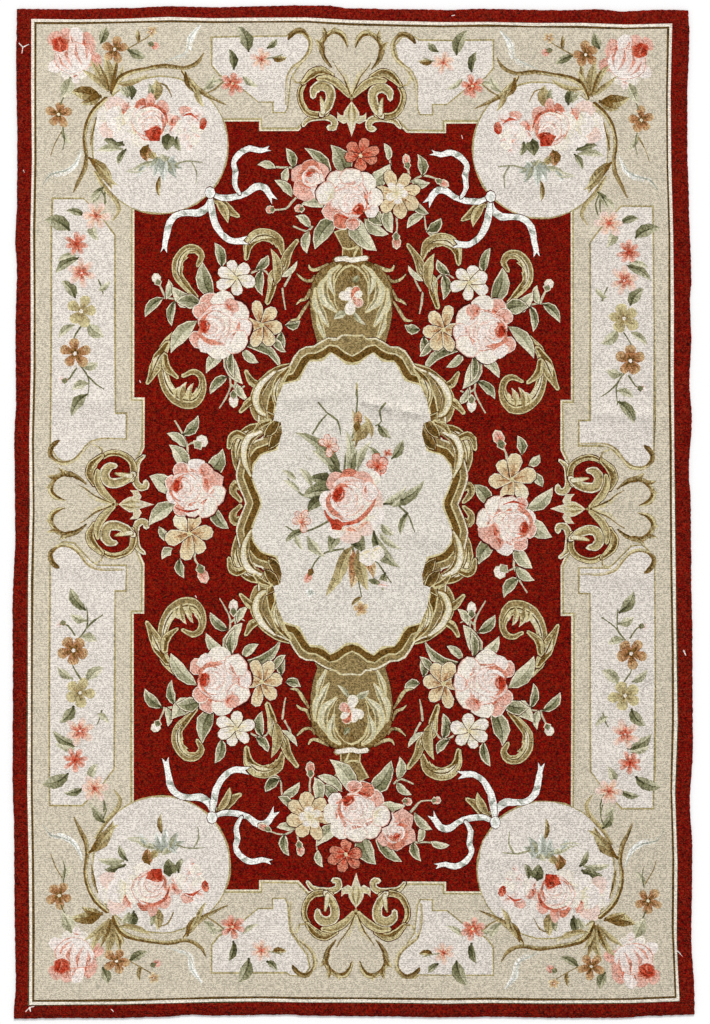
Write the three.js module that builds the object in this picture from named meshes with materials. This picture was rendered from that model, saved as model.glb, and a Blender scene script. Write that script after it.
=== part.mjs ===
// A flat tapestry-woven wool rug of about 4 x 6 feet, lying on a floor.
// Units are millimetres. +X runs across the rug, +Y along it and +Z up out of its face.
// The origin is the middle of its underside.
//
// The rug is one cloth: its field, borders and turned edge are woven in one piece.
// It lies flat, but its four edges wander a little and it keeps low creases from having been folded.
import * as THREE from "three";
import { mergeVertices } from "three/addons/utils/BufferGeometryUtils.js";

// The cloth's driving dimensions
const WIDTH = 1222;
const LENGTH = 1824;
const THICKNESS = 4;

// How the grid of faces is shared out: the rows are closest where the long fold crosses the rug
const COLUMNS = 24;
const ROW_BANDS = [
  { from: -LENGTH / 2, to: 148, rows: 48 },
  { from: 148, to: 228, rows: 12 },
  { from: 228, to: LENGTH / 2, rows: 30 },
];

// The edges' wander is strongest at the edge and is gone by the middle of the rug
const WANDER_POWER = 4;

// How far each edge runs outside its straight line: `at` is the place along the edge
const LEFT_EDGE = [
  { at: -912, out: 2.4 },
  { at: -847, out: -1.3 },
  { at: -702, out: 1.1 },
  { at: -576, out: 1.8 },
  { at: -485, out: 4.5 },
  { at: -304, out: 4.0 },
  { at: -177, out: 4.7 },
  { at: -33, out: -0.4 },
  { at: 58, out: 0.5 },
  { at: 139, out: 1.4 },
  { at: 203, out: -1.8 },
  { at: 329, out: -0.7 },
  { at: 438, out: -3.3 },
  { at: 501, out: -0.4 },
  { at: 565, out: -3.6 },
  { at: 655, out: -4.0 },
  { at: 818, out: -2.2 },
  { at: 912, out: -3.1 },
];
const RIGHT_EDGE = [
  { at: -883, out: 6.3 },
  { at: -775, out: 0.5 },
  { at: -612, out: 2.4 },
  { at: -521, out: -2.2 },
  { at: -431, out: 3.3 },
  { at: -232, out: 2.4 },
  { at: -123, out: 0.5 },
  { at: 13, out: -0.4 },
  { at: 76, out: -4.0 },
  { at: 170, out: 1.4 },
  { at: 239, out: -3.1 },
  { at: 311, out: 0.5 },
  { at: 384, out: -2.2 },
  { at: 420, out: 0.5 },
  { at: 565, out: -4.0 },
  { at: 655, out: -6.7 },
  { at: 746, out: -6.7 },
  { at: 872, out: -3.1 },
  { at: 912, out: -4.9 },
];
const TOP_EDGE = [
  { at: -611, out: -0.7 },
  { at: -513, out: -1.6 },
  { at: -405, out: 1.1 },
  { at: -329, out: 4.2 },
  { at: -251, out: 2.0 },
  { at: -187, out: 3.6 },
  { at: -106, out: 5.6 },
  { at: -43, out: 5.1 },
  { at: -10, out: 0.6 },
  { at: 84, out: -1.4 },
  { at: 175, out: -2.5 },
  { at: 229, out: -0.7 },
  { at: 374, out: -3.1 },
  { at: 446, out: -1.6 },
  { at: 491, out: -5.1 },
  { at: 555, out: -2.2 },
  { at: 611, out: -3.1 },
];
const BOTTOM_EDGE = [
  { at: -611, out: 3.4 },
  { at: -531, out: 2.2 },
  { at: -441, out: 2.2 },
  { at: -341, out: -0.2 },
  { at: -296, out: -3.8 },
  { at: -251, out: -2.4 },
  { at: -115, out: -4.2 },
  { at: -88, out: -2.0 },
  { at: 30, out: -1.1 },
  { at: 157, out: 0.7 },
  { at: 265, out: -0.2 },
  { at: 374, out: 1.8 },
  { at: 482, out: 1.6 },
  { at: 537, out: -2.0 },
  { at: 611, out: -4.2 },
];

// The creases that the rug keeps: each is a low ridge from one place to another
// `rise` is its height, `reach` how far it spreads to each side, `bow` how far its middle bends aside
const CREASES = [
  { fromX: -590, fromY: 199, toX: -368, toY: 195, rise: 2.6, reach: 13, bow: 4 },
  { fromX: -128, fromY: 203, toX: 2, toY: 216, rise: 3.0, reach: 13, bow: 3 },
  { fromX: 0, fromY: 207, toX: 140, toY: 175, rise: 5.0, reach: 8, bow: -2 },
  { fromX: 176, fromY: 183, toX: 406, toY: 189, rise: 2.6, reach: 13, bow: -4 },
  { fromX: 420, fromY: 180, toX: 590, toY: 168, rise: 3.2, reach: 12, bow: 3 },
  { fromX: 64, fromY: -44, toX: 200, toY: -50, rise: 2.6, reach: 16, bow: 3 },
  { fromX: 380, fromY: -102, toX: 556, toY: -110, rise: 2.4, reach: 17, bow: -5 },
  { fromX: -590, fromY: -98, toX: -410, toY: -102, rise: 2.0, reach: 18, bow: 5 },
  { fromX: -390, fromY: -140, toX: -180, toY: -149, rise: 2.4, reach: 22, bow: 6 },
  { fromX: -330, fromY: 643, toX: -198, toY: 630, rise: 2.2, reach: 17, bow: 4 },
  { fromX: 216, fromY: 607, toX: 396, toY: 596, rise: 2.2, reach: 18, bow: -5 },
  { fromX: 366, fromY: 495, toX: 560, toY: 489, rise: 2.2, reach: 17, bow: 3 },
  { fromX: 220, fromY: -629, toX: 460, toY: -638, rise: 2.6, reach: 17, bow: 4 },
  { fromX: 396, fromY: -436, toX: 590, toY: -470, rise: 2.2, reach: 18, bow: -3 },
  { fromX: -196, fromY: 33, toX: -60, toY: 37, rise: 2.2, reach: 16, bow: 2 },
  { fromX: -76, fromY: -225, toX: 8, toY: -216, rise: 2.0, reach: 16, bow: 1 },
];

// How far an edge runs outside its straight line at one place along it
function wander(edge, along) {
  const next = edge.findIndex((row) => row.at >= along);
  if (next === 0) return edge[0].out;
  if (next < 0) return edge.at(-1).out;
  const before = edge[next - 1];
  const after = edge[next];
  return THREE.MathUtils.lerp(before.out, after.out, THREE.MathUtils.smoothstep(along, before.at, after.at));
}

// Where a place of the straight rectangle lies on the real, uneven cloth
function onCloth(x, y) {
  const side = x < 0 ? LEFT_EDGE : RIGHT_EDGE;
  const end = y < 0 ? BOTTOM_EDGE : TOP_EDGE;
  const sideShare = Math.abs(x / (WIDTH / 2)) ** WANDER_POWER;
  const endShare = Math.abs(y / (LENGTH / 2)) ** WANDER_POWER;
  return new THREE.Vector2(
    x + Math.sign(x) * wander(side, y) * sideShare,
    y + Math.sign(y) * wander(end, x) * endShare,
  );
}

// How high the creases lift the cloth at one place: each fades out towards its two ends
function lift(x, y) {
  let height = 0;
  for (const crease of CREASES) {
    const run = new THREE.Vector2(crease.toX - crease.fromX, crease.toY - crease.fromY);
    const along = run.clone().normalize();
    const here = new THREE.Vector2(x - crease.fromX, y - crease.fromY);
    const share = here.dot(along) / run.length();
    if (share <= 0 || share >= 1) continue;
    const aside = along.cross(here) - crease.bow * 4 * share * (1 - share);
    const fade = 1 - (2 * share - 1) ** 4;
    height += crease.rise * fade * Math.exp(-((aside / crease.reach) ** 2));
  }
  return height;
}

// The places of the grid's lines across the rug and along it
function columnLines() {
  return Array.from({ length: COLUMNS + 1 }, (_, i) => WIDTH * (i / COLUMNS - 0.5));
}

function rowLines() {
  const lines = [-LENGTH / 2];
  for (const band of ROW_BANDS) {
    for (let row = 1; row <= band.rows; row += 1) {
      lines.push(THREE.MathUtils.lerp(band.from, band.to, row / band.rows));
    }
  }
  return lines;
}

// The cloth as one closed solid: a box with a fine grid, bent onto the uneven outline and its creases
function clothGeometry() {
  const columns = columnLines();
  const rows = rowLines();
  const box = new THREE.BoxGeometry(columns.length - 1, rows.length - 1, 1, columns.length - 1, rows.length - 1, 1);
  box.deleteAttribute("normal");
  box.deleteAttribute("uv");
  const cloth = mergeVertices(box);
  const place = cloth.getAttribute("position");
  for (let i = 0; i < place.count; i += 1) {
    const x = columns[Math.round(place.getX(i) + (columns.length - 1) / 2)];
    const y = rows[Math.round(place.getY(i) + (rows.length - 1) / 2)];
    const spot = onCloth(x, y);
    const z = place.getZ(i) > 0 ? THICKNESS : 0;
    place.setXYZ(i, spot.x, spot.y, z + lift(spot.x, spot.y));
  }
  cloth.computeBoundingBox();
  const middle = cloth.boundingBox.getCenter(new THREE.Vector3());
  cloth.translate(-middle.x, -middle.y, 0);
  cloth.computeVertexNormals();
  return cloth;
}

const wool = new THREE.MeshStandardMaterial({ color: 0x82201e, roughness: 0.95, metalness: 0 });

const rug = new THREE.Mesh(clothGeometry(), wool);
rug.name = "rug";

const part = new THREE.Group();
part.add(rug);

export default part;
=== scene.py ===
# %% [markdown]
# # A tapestry-woven rug
# The object is one flat cloth of wool. Its flowers and scrolls aren't printed: each patch of colour is woven
# with its own yarn, and neighbouring patches meet along a clean edge. This lesson builds the cloth, draws the
# weaver's full-size drawing, the cartoon, and then lets every patch of the drawing become faces of the mesh.

# %% Load the CAD model
import math
import random

import bpy
import numpy as np
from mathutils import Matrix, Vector
from mathutils.geometry import delaunay_2d_cdt


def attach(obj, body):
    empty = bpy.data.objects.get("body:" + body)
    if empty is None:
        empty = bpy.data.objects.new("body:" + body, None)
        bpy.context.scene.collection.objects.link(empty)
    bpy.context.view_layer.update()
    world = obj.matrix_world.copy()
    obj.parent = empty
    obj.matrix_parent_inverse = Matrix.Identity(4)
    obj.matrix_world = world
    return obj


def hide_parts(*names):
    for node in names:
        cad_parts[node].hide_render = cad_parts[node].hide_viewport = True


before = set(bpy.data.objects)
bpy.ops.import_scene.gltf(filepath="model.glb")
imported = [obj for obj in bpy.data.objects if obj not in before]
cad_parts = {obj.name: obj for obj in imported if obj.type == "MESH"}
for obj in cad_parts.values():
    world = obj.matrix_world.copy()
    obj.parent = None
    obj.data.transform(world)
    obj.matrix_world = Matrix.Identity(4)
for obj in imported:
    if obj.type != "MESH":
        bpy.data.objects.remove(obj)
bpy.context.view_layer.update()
print("nodes of the CAD model:", list(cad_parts))

# %% [markdown]
# ## The camera, the floor and the light
# The rug was photographed from straight above, so the camera looks down the Z axis. A long lens keeps the
# sides parallel. The floor is one large pale plane. A low sun from the far end makes the creases show, and
# an even world light fills their shadows.

# %% The camera above the middle of the rug
LENS = 85.0
SENSOR = 36.0
FRAME_HEIGHT = 1.8534
FRAME_SHIFT = 0.0027
FACE_HEIGHT = 0.004

camera_data = bpy.data.cameras.new("camera")
camera_data.lens = LENS
camera_data.sensor_width = SENSOR
camera = bpy.data.objects.new("camera", camera_data)
bpy.context.scene.collection.objects.link(camera)
camera.location = (FRAME_SHIFT, 0.0, FRAME_HEIGHT / 2 / (SENSOR / 2 / LENS) + FACE_HEIGHT)
bpy.context.scene.camera = camera
print("camera height in metres:", round(camera.location.z, 3))

# %% The floor, just below the rug
FLOOR_SIZE = 12.0
FLOOR_DROP = 0.0005
FLOOR_WHITE = (0.985, 0.985, 0.985, 1.0)
FLOOR_ROUGHNESS = 0.9
FLOOR_SHINE = 0.2

floor_white = bpy.data.materials.new("floor_white")
floor_white.use_nodes = True
floor_shader = floor_white.node_tree.nodes["Principled BSDF"]
floor_shader.inputs["Base Color"].default_value = FLOOR_WHITE
floor_shader.inputs["Roughness"].default_value = FLOOR_ROUGHNESS
floor_shader.inputs["Specular IOR Level"].default_value = FLOOR_SHINE

bpy.ops.object.select_all(action="DESELECT")
bpy.ops.mesh.primitive_plane_add(size=FLOOR_SIZE, location=(0, 0, -FLOOR_DROP))
floor = bpy.context.active_object
floor.name = "floor"
bpy.ops.object.transform_apply(location=True)
floor.data.materials.append(floor_white)
print("the floor is", FLOOR_SIZE, "m wide")

# %% The low sun and the even light of the world
SUN_STRENGTH = 1.75
SUN_SPREAD = 12
SUN_FROM = (0.18, 0.95, 0.85)
WORLD_STRENGTH = 0.66

sun_data = bpy.data.lights.new("sun", "SUN")
sun_data.energy = SUN_STRENGTH
sun_data.angle = math.radians(SUN_SPREAD)
sun = bpy.data.objects.new("sun", sun_data)
sun.rotation_euler = Vector(SUN_FROM).to_track_quat("Z", "Y").to_euler()
bpy.context.scene.collection.objects.link(sun)

world = bpy.data.worlds.new("studio")
world.use_nodes = True
world.node_tree.nodes["Background"].inputs["Color"].default_value = (1.0, 1.0, 1.0, 1.0)
world.node_tree.nodes["Background"].inputs["Strength"].default_value = WORLD_STRENGTH
bpy.context.scene.world = world
bpy.context.scene.view_settings.view_transform = "Standard"

# %% [markdown]
# ## The shape of the cloth
# A hand-woven cloth is never quite a rectangle, and one that was folded keeps low creases. The same short
# tables that give the CAD part its outline give the fine mesh its own, so the two lie on each other.

# %% The cloth's measures and its uneven edges, in millimetres
WIDTH = 1222.0
LENGTH = 1824.0
THICKNESS = 4.0
WANDER_POWER = 4

# Each row is a place along the edge and how far the edge runs outside its straight line there
LEFT_EDGE = ((-912, 2.4), (-847, -1.3), (-702, 1.1), (-576, 1.8), (-485, 4.5), (-304, 4.0), (-177, 4.7),
             (-33, -0.4), (58, 0.5), (139, 1.4), (203, -1.8), (329, -0.7), (438, -3.3), (501, -0.4),
             (565, -3.6), (655, -4.0), (818, -2.2), (912, -3.1))
RIGHT_EDGE = ((-883, 6.3), (-775, 0.5), (-612, 2.4), (-521, -2.2), (-431, 3.3), (-232, 2.4), (-123, 0.5),
              (13, -0.4), (76, -4.0), (170, 1.4), (239, -3.1), (311, 0.5), (384, -2.2), (420, 0.5),
              (565, -4.0), (655, -6.7), (746, -6.7), (872, -3.1), (912, -4.9))
TOP_EDGE = ((-611, -0.7), (-513, -1.6), (-405, 1.1), (-329, 4.2), (-251, 2.0), (-187, 3.6), (-106, 5.6),
            (-43, 5.1), (-10, 0.6), (84, -1.4), (175, -2.5), (229, -0.7), (374, -3.1), (446, -1.6),
            (491, -5.1), (555, -2.2), (611, -3.1))
BOTTOM_EDGE = ((-611, 3.4), (-531, 2.2), (-441, 2.2), (-341, -0.2), (-296, -3.8), (-251, -2.4),
               (-115, -4.2), (-88, -2.0), (30, -1.1), (157, 0.7), (265, -0.2), (374, 1.8), (482, 1.6),
               (537, -2.0), (611, -4.2))

# Each crease: where it starts and ends, its height, how far it spreads and how far its middle bends aside
CREASES = (
    (-590, 199, -368, 195, 2.6, 13, 4),
    (-128, 203, 2, 216, 3.0, 13, 3),
    (0, 207, 140, 175, 5.0, 8, -2),
    (176, 183, 406, 189, 2.6, 13, -4),
    (420, 180, 590, 168, 3.2, 12, 3),
    (64, -44, 200, -50, 2.6, 16, 3),
    (380, -102, 556, -110, 2.4, 17, -5),
    (-590, -98, -410, -102, 2.0, 18, 5),
    (-390, -140, -180, -149, 2.4, 22, 6),
    (-330, 643, -198, 630, 2.2, 17, 4),
    (216, 607, 396, 596, 2.2, 18, -5),
    (366, 495, 560, 489, 2.2, 17, 3),
    (220, -629, 460, -638, 2.6, 17, 4),
    (396, -436, 590, -470, 2.2, 18, -3),
    (-196, 33, -60, 37, 2.2, 16, 2),
    (-76, -225, 8, -216, 2.0, 16, 1),
)
print("the straight cloth:", WIDTH, "x", LENGTH, "x", THICKNESS, "mm")

# %% [markdown]
# `on_cloth` moves a place of the straight rectangle to where it lies on the uneven cloth, most at the edge
# and not at all in the middle. `lift` says how high the creases raise it there. Both take whole arrays of
# places at once, which is far quicker than a loop over thousands of points.


# %% How far the edges wander and the creases lift
def wander(edge, along):
    places = np.array([row[0] for row in edge], float)
    outs = np.array([row[1] for row in edge], float)
    along = np.clip(along, places[0], places[-1])
    after = np.clip(np.searchsorted(places, along), 1, len(places) - 1)
    share = (along - places[after - 1]) / (places[after] - places[after - 1])
    return outs[after - 1] + (outs[after] - outs[after - 1]) * share * share * (3 - 2 * share)


def on_cloth(x, y):
    side = np.where(x < 0, wander(LEFT_EDGE, y), wander(RIGHT_EDGE, y))
    end = np.where(y < 0, wander(BOTTOM_EDGE, x), wander(TOP_EDGE, x))
    new_x = x + np.sign(x) * side * np.abs(x / (WIDTH / 2)) ** WANDER_POWER
    new_y = y + np.sign(y) * end * np.abs(y / (LENGTH / 2)) ** WANDER_POWER
    return new_x, new_y


def lift(x, y):
    height = np.zeros_like(x)
    for from_x, from_y, to_x, to_y, rise, reach, bow in CREASES:
        run = math.hypot(to_x - from_x, to_y - from_y)
        along_x = (to_x - from_x) / run
        along_y = (to_y - from_y) / run
        share = ((x - from_x) * along_x + (y - from_y) * along_y) / run
        aside = along_x * (y - from_y) - along_y * (x - from_x) - bow * 4 * share * (1 - share)
        fade = np.clip(1 - (2 * share - 1) ** 4, 0, 1)
        height += rise * fade * np.exp(-((aside / reach) ** 2))
    return height


print("creases:", len(CREASES), "highest", max(row[4] for row in CREASES), "mm")

# %% [markdown]
# ## The yarns
# A workshop dyes a few dozen yarns and weaves everything from them. Where one colour passes into another,
# the weaver mixes stitches of both. So a patch has a first yarn and may have a second one, with a share that
# grows from one place to another. The material decides later, stitch by stitch, which of the two shows.

# %% The yarns by name, and their colours as light adds them up
YARNS = {
    "edge_red": "6E150D",
    "field_red": "6F1206",
    "shadow": "480A05",
    "bone": "E0D8BE",
    "white": "E8DFD0",
    "bark": "5C4626",
    "ground": "CDC3AF",
    "panel": "DDD5CC",
    "medallion": "DAD3C9",
    "reed": "A99C70",
    "khaki": "8E7A52",
    "straw": "CDC194",
    "fawn": "B2A379",
    "umber": "6A4E26",
    "sage_pale": "C2BFA3",
    "sage": "959275",
    "moss": "717051",
    "pine": "4A4932",
    "heart": "A63323",
    "deep_coral": "BA533E",
    "coral": "C87F68",
    "pink": "DDB0A1",
    "blush": "E3CBC0",
    "petal": "E8DFD8",
    "peach": "E1C0A8",
    "tan": "BF9F76",
    "sand": "DCCBA6",
    "brown": "9E6E4A",
    "silver": "C6C8BE",
    "grey": "9BA093",
    "snow": "EFEEE8",
}


def linear(hex_colour):
    values = [int(hex_colour[i:i + 2], 16) / 255 for i in (0, 2, 4)]
    return [value / 12.92 if value < 0.04045 else ((value + 0.055) / 1.055) ** 2.4 for value in values]


YARN_COLOURS = {name: linear(colour) for name, colour in YARNS.items()}
print("yarns:", len(YARN_COLOURS))

# %% [markdown]
# ## Drawing with complex numbers
# A point of the cartoon is one complex number, so a turn is a product and a mirror is a change of sign.
# The unit is one square of the squared paper, 1.81 mm on the rug. Small helpers make every outline: a smooth
# curve through points, a stroke of changing width and a round blob.

# %% Curves, strokes and blobs
SQUARE = 1.81
SEED = 11
hand = random.Random(SEED)


def flow(points, steps=4, closed=False):
    knots = np.asarray(points, complex)
    if closed:
        rows = [np.roll(knots, 1), knots, np.roll(knots, -1), np.roll(knots, -2)]
    else:
        ends = np.concatenate([[2 * knots[0] - knots[1]], knots, [2 * knots[-1] - knots[-2]]])
        rows = [ends[:-3], ends[1:-2], ends[2:-1], ends[3:]]
    t = (np.arange(steps) / steps)[:, None]
    curve = 2 * rows[1] + (rows[2] - rows[0]) * t
    curve = curve + (2 * rows[0] - 5 * rows[1] + 4 * rows[2] - rows[3]) * t ** 2
    curve = curve + (3 * rows[1] - rows[0] - 3 * rows[2] + rows[3]) * t ** 3
    curve = (curve / 2).T.ravel()
    return curve if closed else np.append(curve, knots[-1])


ROUND_END = 0.8


# `aside` shifts the stroke to one side, `share` narrows it and `rim` widens it all round
def stroke(path, widths, steps=3, aside=0.0, share=1.0, rim=0.0):
    spine = flow(path, steps) if steps > 1 else np.asarray(path, complex)
    half = np.interp(np.linspace(0, 1, len(spine)), np.linspace(0, 1, len(widths)), widths) / 2
    ahead = np.gradient(spine)
    ahead = ahead / np.abs(ahead)
    middle = spine + 2j * ahead * half * aside
    half = half * share + rim
    middle[0] -= ahead[0] * rim
    middle[-1] += ahead[-1] * rim
    across = 1j * ahead * half
    first = middle[0] - ahead[0] * half[0] * ROUND_END
    last = middle[-1] + ahead[-1] * half[-1] * ROUND_END
    return np.concatenate([[first], middle - across, [last], (middle + across)[::-1]])


def blob(centre, across, up=None, turn=0.0, rough=0.05, count=9):
    up = across if up is None else up
    angles = np.arange(count) / count * 2 * math.pi
    reach = np.array([1 + rough * hand.uniform(-1, 1) for _ in range(count)])
    return centre + np.exp(1j * turn) * reach * (across * np.cos(angles) + 1j * up * np.sin(angles))


print("a stroke through three places has", len(stroke((0, 5, 9j), (1, 2, 1))), "corners")

# %% [markdown]
# A rim is the same outline grown outwards. `grow` moves each corner along the middle of its two sides'
# directions, which is right for a small step. For the medallion's wide bands `swell` rolls a disc around the
# outline instead, so its inner corners stay sharp and its lobes stay round.


# %% Outlines grown outwards, and mirrored
TINY = 1e-6
SHARPEST_MITRE = 0.6


def counter_clockwise(outline):
    outline = np.asarray(outline, complex)
    turning = np.sum(np.imag(np.conj(outline) * np.roll(outline, -1)))
    return outline if turning > 0 else outline[::-1]


def grow(outline, by):
    outline = counter_clockwise(outline)
    before = outline - np.roll(outline, 1)
    after = np.roll(outline, -1) - outline
    before_out = -1j * before / np.maximum(np.abs(before), TINY)
    after_out = -1j * after / np.maximum(np.abs(after), TINY)
    out = before_out + after_out
    out = out / np.maximum(np.abs(out), TINY)
    mitre = np.maximum(np.real(out * np.conj(before_out)), SHARPEST_MITRE)
    return outline + by * out / mitre


def swell(outline, by, count=132, pieces=12):
    edge = flow(outline, 1, closed=True)
    ahead = np.roll(edge, -1)
    dense = np.concatenate([edge + (ahead - edge) * t for t in np.linspace(0, 1, pieces, endpoint=False)])
    rays = np.exp(2j * math.pi * np.arange(count) / count)
    along = np.real(dense[None, :] * np.conj(rays[:, None]))
    aside = np.imag(dense[None, :] * np.conj(rays[:, None]))
    reach = np.where(np.abs(aside) < by, along + np.sqrt(np.maximum(by * by - aside * aside, 0)), -1)
    return rays * reach.max(axis=1)


def four_quarters(quarter):
    quarter = np.array(quarter)
    mirrored = np.conj(quarter)[::-1]
    return np.concatenate([quarter, mirrored, -quarter, -mirrored])


def area(outline):
    return abs(np.sum(np.imag(np.conj(outline) * np.roll(outline, -1)))) / 2


print("a square of 2 grown by 1 has an area of", area(grow((0, 2, 2+2j, 2j), 1)))

# %% [markdown]
# The cartoon is a list of patches of yarn. A patch that is laid later covers the ones below it, as cut paper
# does. Its corners wobble a little, because a hand-woven line is never exact. `stand` chooses where the next
# patches go and how they are mirrored and turned, so a motif is drawn once. The motifs' places are counted
# across and down from the cartoon's left upper corner, in a literal such as 119+80j, and `page` turns them
# into places counted from its middle.

# %% The cartoon itself: patches of yarn, laid one over the other
PAGE_MIDDLE = 353+506j
SLANT = 0.0055
WOBBLE = 0.2
WOBBLE_LIMIT = 0.4


def page(across, down=0):
    return PAGE_MIDDLE - across - 1j * down


def pages(*places):
    return tuple(page(place) for place in places)


class Cartoon:
    def __init__(self):
        self.patches = []
        self.stand(-1, 1)

    def stand(self, side, end, turn=1, origin=0):
        self.side, self.end, self.turn, self.origin = side, end, turn, origin

    def placed(self, points):
        points = np.asarray(points, complex)
        points = self.turn * (self.side * points.real + 1j * self.end * points.imag) + self.origin
        return points - 1j * SLANT * points.real

    def lay(self, outline, yarn, second=None, blend=None, steady=False):
        outline = counter_clockwise(self.placed(outline))
        if not steady:
            wobble = [complex(hand.gauss(0, WOBBLE), hand.gauss(0, WOBBLE)) for _ in outline]
            outline = outline + np.clip(np.real(wobble), -WOBBLE_LIMIT, WOBBLE_LIMIT)
            outline = outline + 1j * np.clip(np.imag(wobble), -WOBBLE_LIMIT, WOBBLE_LIMIT)
        ends = None if blend is None else self.placed(blend)
        self.patches.append((outline, yarn, second or yarn, ends))


def tell(what):
    print("patches with", what + ":", len(cartoon.patches))


cartoon = Cartoon()
lay = cartoon.lay

TOP_LEFT = (-1, 1)
TOP_RIGHT = (1, 1)
BOTTOM_LEFT = (-1, -1)
BOTTOM_RIGHT = (1, -1)
CORNERS = (TOP_LEFT, TOP_RIGHT, BOTTOM_LEFT, BOTTOM_RIGHT)
print("one square of the cartoon is", SQUARE, "mm")

# %% [markdown]
# ## The grounds
# The largest areas come first, as a weaver sets them out first: the plain red edge, two thin lines, the
# sand-coloured border, the cream panels in it, the red field and the four cream circles.

# %% The edge band, its two lines and the border's ground
BAND_CORNERS = (-322.5+486.5j, 321+486j, 324-494j, -323-498.5j)
LAST_ROW = 0.9
WHITE_LINE = 2.8
DARK_LINE = 2.3


def along_sides(corners, pieces=14):
    corners = np.asarray(corners, complex)
    ahead = np.roll(corners, -1)
    return np.concatenate([np.linspace(a, b, pieces, endpoint=False) for a, b in zip(corners, ahead)])


cartoon.stand(1, 1)
lay(along_sides(grow(BAND_CORNERS, LAST_ROW)), "pine", "edge_red", (0, 1j))
lay(along_sides(BAND_CORNERS), "white")
lay(along_sides(grow(BAND_CORNERS, -WHITE_LINE)), "bark")
lay(along_sides(grow(BAND_CORNERS, -WHITE_LINE - DARK_LINE)), "ground")
tell("the edge band")

# %% The red field, with the bone and reed lines around it
FIELD_QUARTER = (
    22+386j, 44+385j, 54+374.5j, 93.5+374.5j, 93.5+384j, 129+384j, 172+384j, 218.5+384j,
    218.5+300j, 218.5+204j, 218.5+108j, 208+108j, 208+58j, 214+45j, 214+22j,
)
REED_LINE = 3.3
BONE_LINE = 1.6
field = four_quarters(FIELD_QUARTER)
lay(grow(field, REED_LINE), "reed")
lay(grow(field, BONE_LINE), "bone")
lay(field, "field_red", steady=True)
tell("the red field")

# %% The panels of the border
TOP_PANEL = (
    140+467j, 103+467j, 66+467j, 62+470j, 50+470j, 43.5+462j, 46+449j, 55+438j, 63+426j,
    66+398j, 68+393.6j, 79+393.6j, 79+404j, 94+404j, 113.5+420j, 133+431j, 140+440j,
)
SIDE_PANEL = (
    300.7+306j, 270+306j, 254+290j, 238.5+269.6j, 238.3+180j, 238+91.3j, 227+91.3j,
    227+67.2j, 255+67.2j, 261+63.5j, 272+52.3j, 279+45.3j, 289+44j, 294.5+48j, 301+58j,
    301+180j,
)
PANEL_LINE = 1.7
SIDE_PANEL_SHIFTS = {TOP_LEFT: 0, TOP_RIGHT: -4.5j, BOTTOM_LEFT: 6.5j, BOTTOM_RIGHT: 6.5j}
for place, shift in SIDE_PANEL_SHIFTS.items():
    for panel, move in ((TOP_PANEL, 0), (SIDE_PANEL, shift)):
        cartoon.stand(*place, origin=move)
        lay(grow(panel, PANEL_LINE), "reed", "khaki", (0, 900))
        lay(panel, "panel")
tell("the border's panels")

# %% The circles in the four corners
CIRCLE_RADIUS = 67.5
CIRCLES = {
    TOP_LEFT: 193+360j,
    TOP_RIGHT: 188.5+358j,
    BOTTOM_LEFT: 191+359j,
    BOTTOM_RIGHT: 193+362j,
}


def stand_at_circle(place):
    move = CIRCLES[place] - CIRCLES[TOP_LEFT]
    cartoon.stand(*place, origin=complex(move.real * place[0], move.imag * place[1]))


for place, centre in CIRCLES.items():
    cartoon.stand(*place)
    lay(blob(centre, CIRCLE_RADIUS + 1.8, count=44, rough=0.006), "reed")
    lay(blob(centre, CIRCLE_RADIUS + 0.2, count=44, rough=0.006), "panel")
tell("the circles")

# %% [markdown]
# ## Leaves, buds, twigs, blossoms, roses and scrolls
# Every plant of the design is made of a few kinds of shape, and each kind gets one function. On the red
# field a shape has a bone-coloured rim, which keeps a dark leaf readable on a dark ground. On the pale
# grounds the rim is left out. A shape is shaded with three yarns of one dye, from light to dark.

# %% The dyes, and the dark line around a shape
# Each dye is a light, a middle and a dark yarn
DYES = {
    "moss": ("sage_pale", "sage", "moss"),
    "sage": ("bone", "sage_pale", "sage"),
    "dark": ("sage", "moss", "pine"),
    "olive": ("straw", "khaki", "umber"),
    "brown": ("khaki", "umber", "bark"),
    "fawn": ("straw", "fawn", "khaki"),
    "coral": ("pink", "coral", "deep_coral"),
    "pink": ("petal", "blush", "coral"),
    "white": ("white", "petal", "pink"),
    "cream": ("petal", "bone", "sand"),
    "orange": ("coral", "deep_coral", "heart"),
    "tan": ("sand", "tan", "brown"),
    "beige": ("bone", "sand", "tan"),
    "russet": ("tan", "brown", "umber"),
    "peach": ("blush", "peach", "coral"),
    "grey": ("snow", "silver", "grey"),
    "flame": ("bone", "straw", "khaki"),
    "shell": ("white", "petal", "coral"),
    "silver": ("silver", "grey", "sage"),
}
RIM = 1.1
OUTLINE = 0.7


def dark_line(outline, by=RIM):
    lay(grow(outline, by + OUTLINE), "shadow", steady=True)


print("dyes of three yarns:", len(DYES))

# %% [markdown]
# A leaf is a bent strip, widest before its middle. One half of it is woven darker, and a large leaf has a
# vein. A bud is an egg in a green cup, and a twig is a thin stroke.

# %% Leaves, buds and twigs
LEAF_PLACES = np.array([0.0, 0.16, 0.4, 0.64, 0.84, 1.0])
LEAF_WIDTHS = np.array([0.0, 0.62, 1.0, 0.86, 0.45, 0.0])
TWO_TONED_LEAF = 4.5
VEINED_LEAF = 6.5


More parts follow.
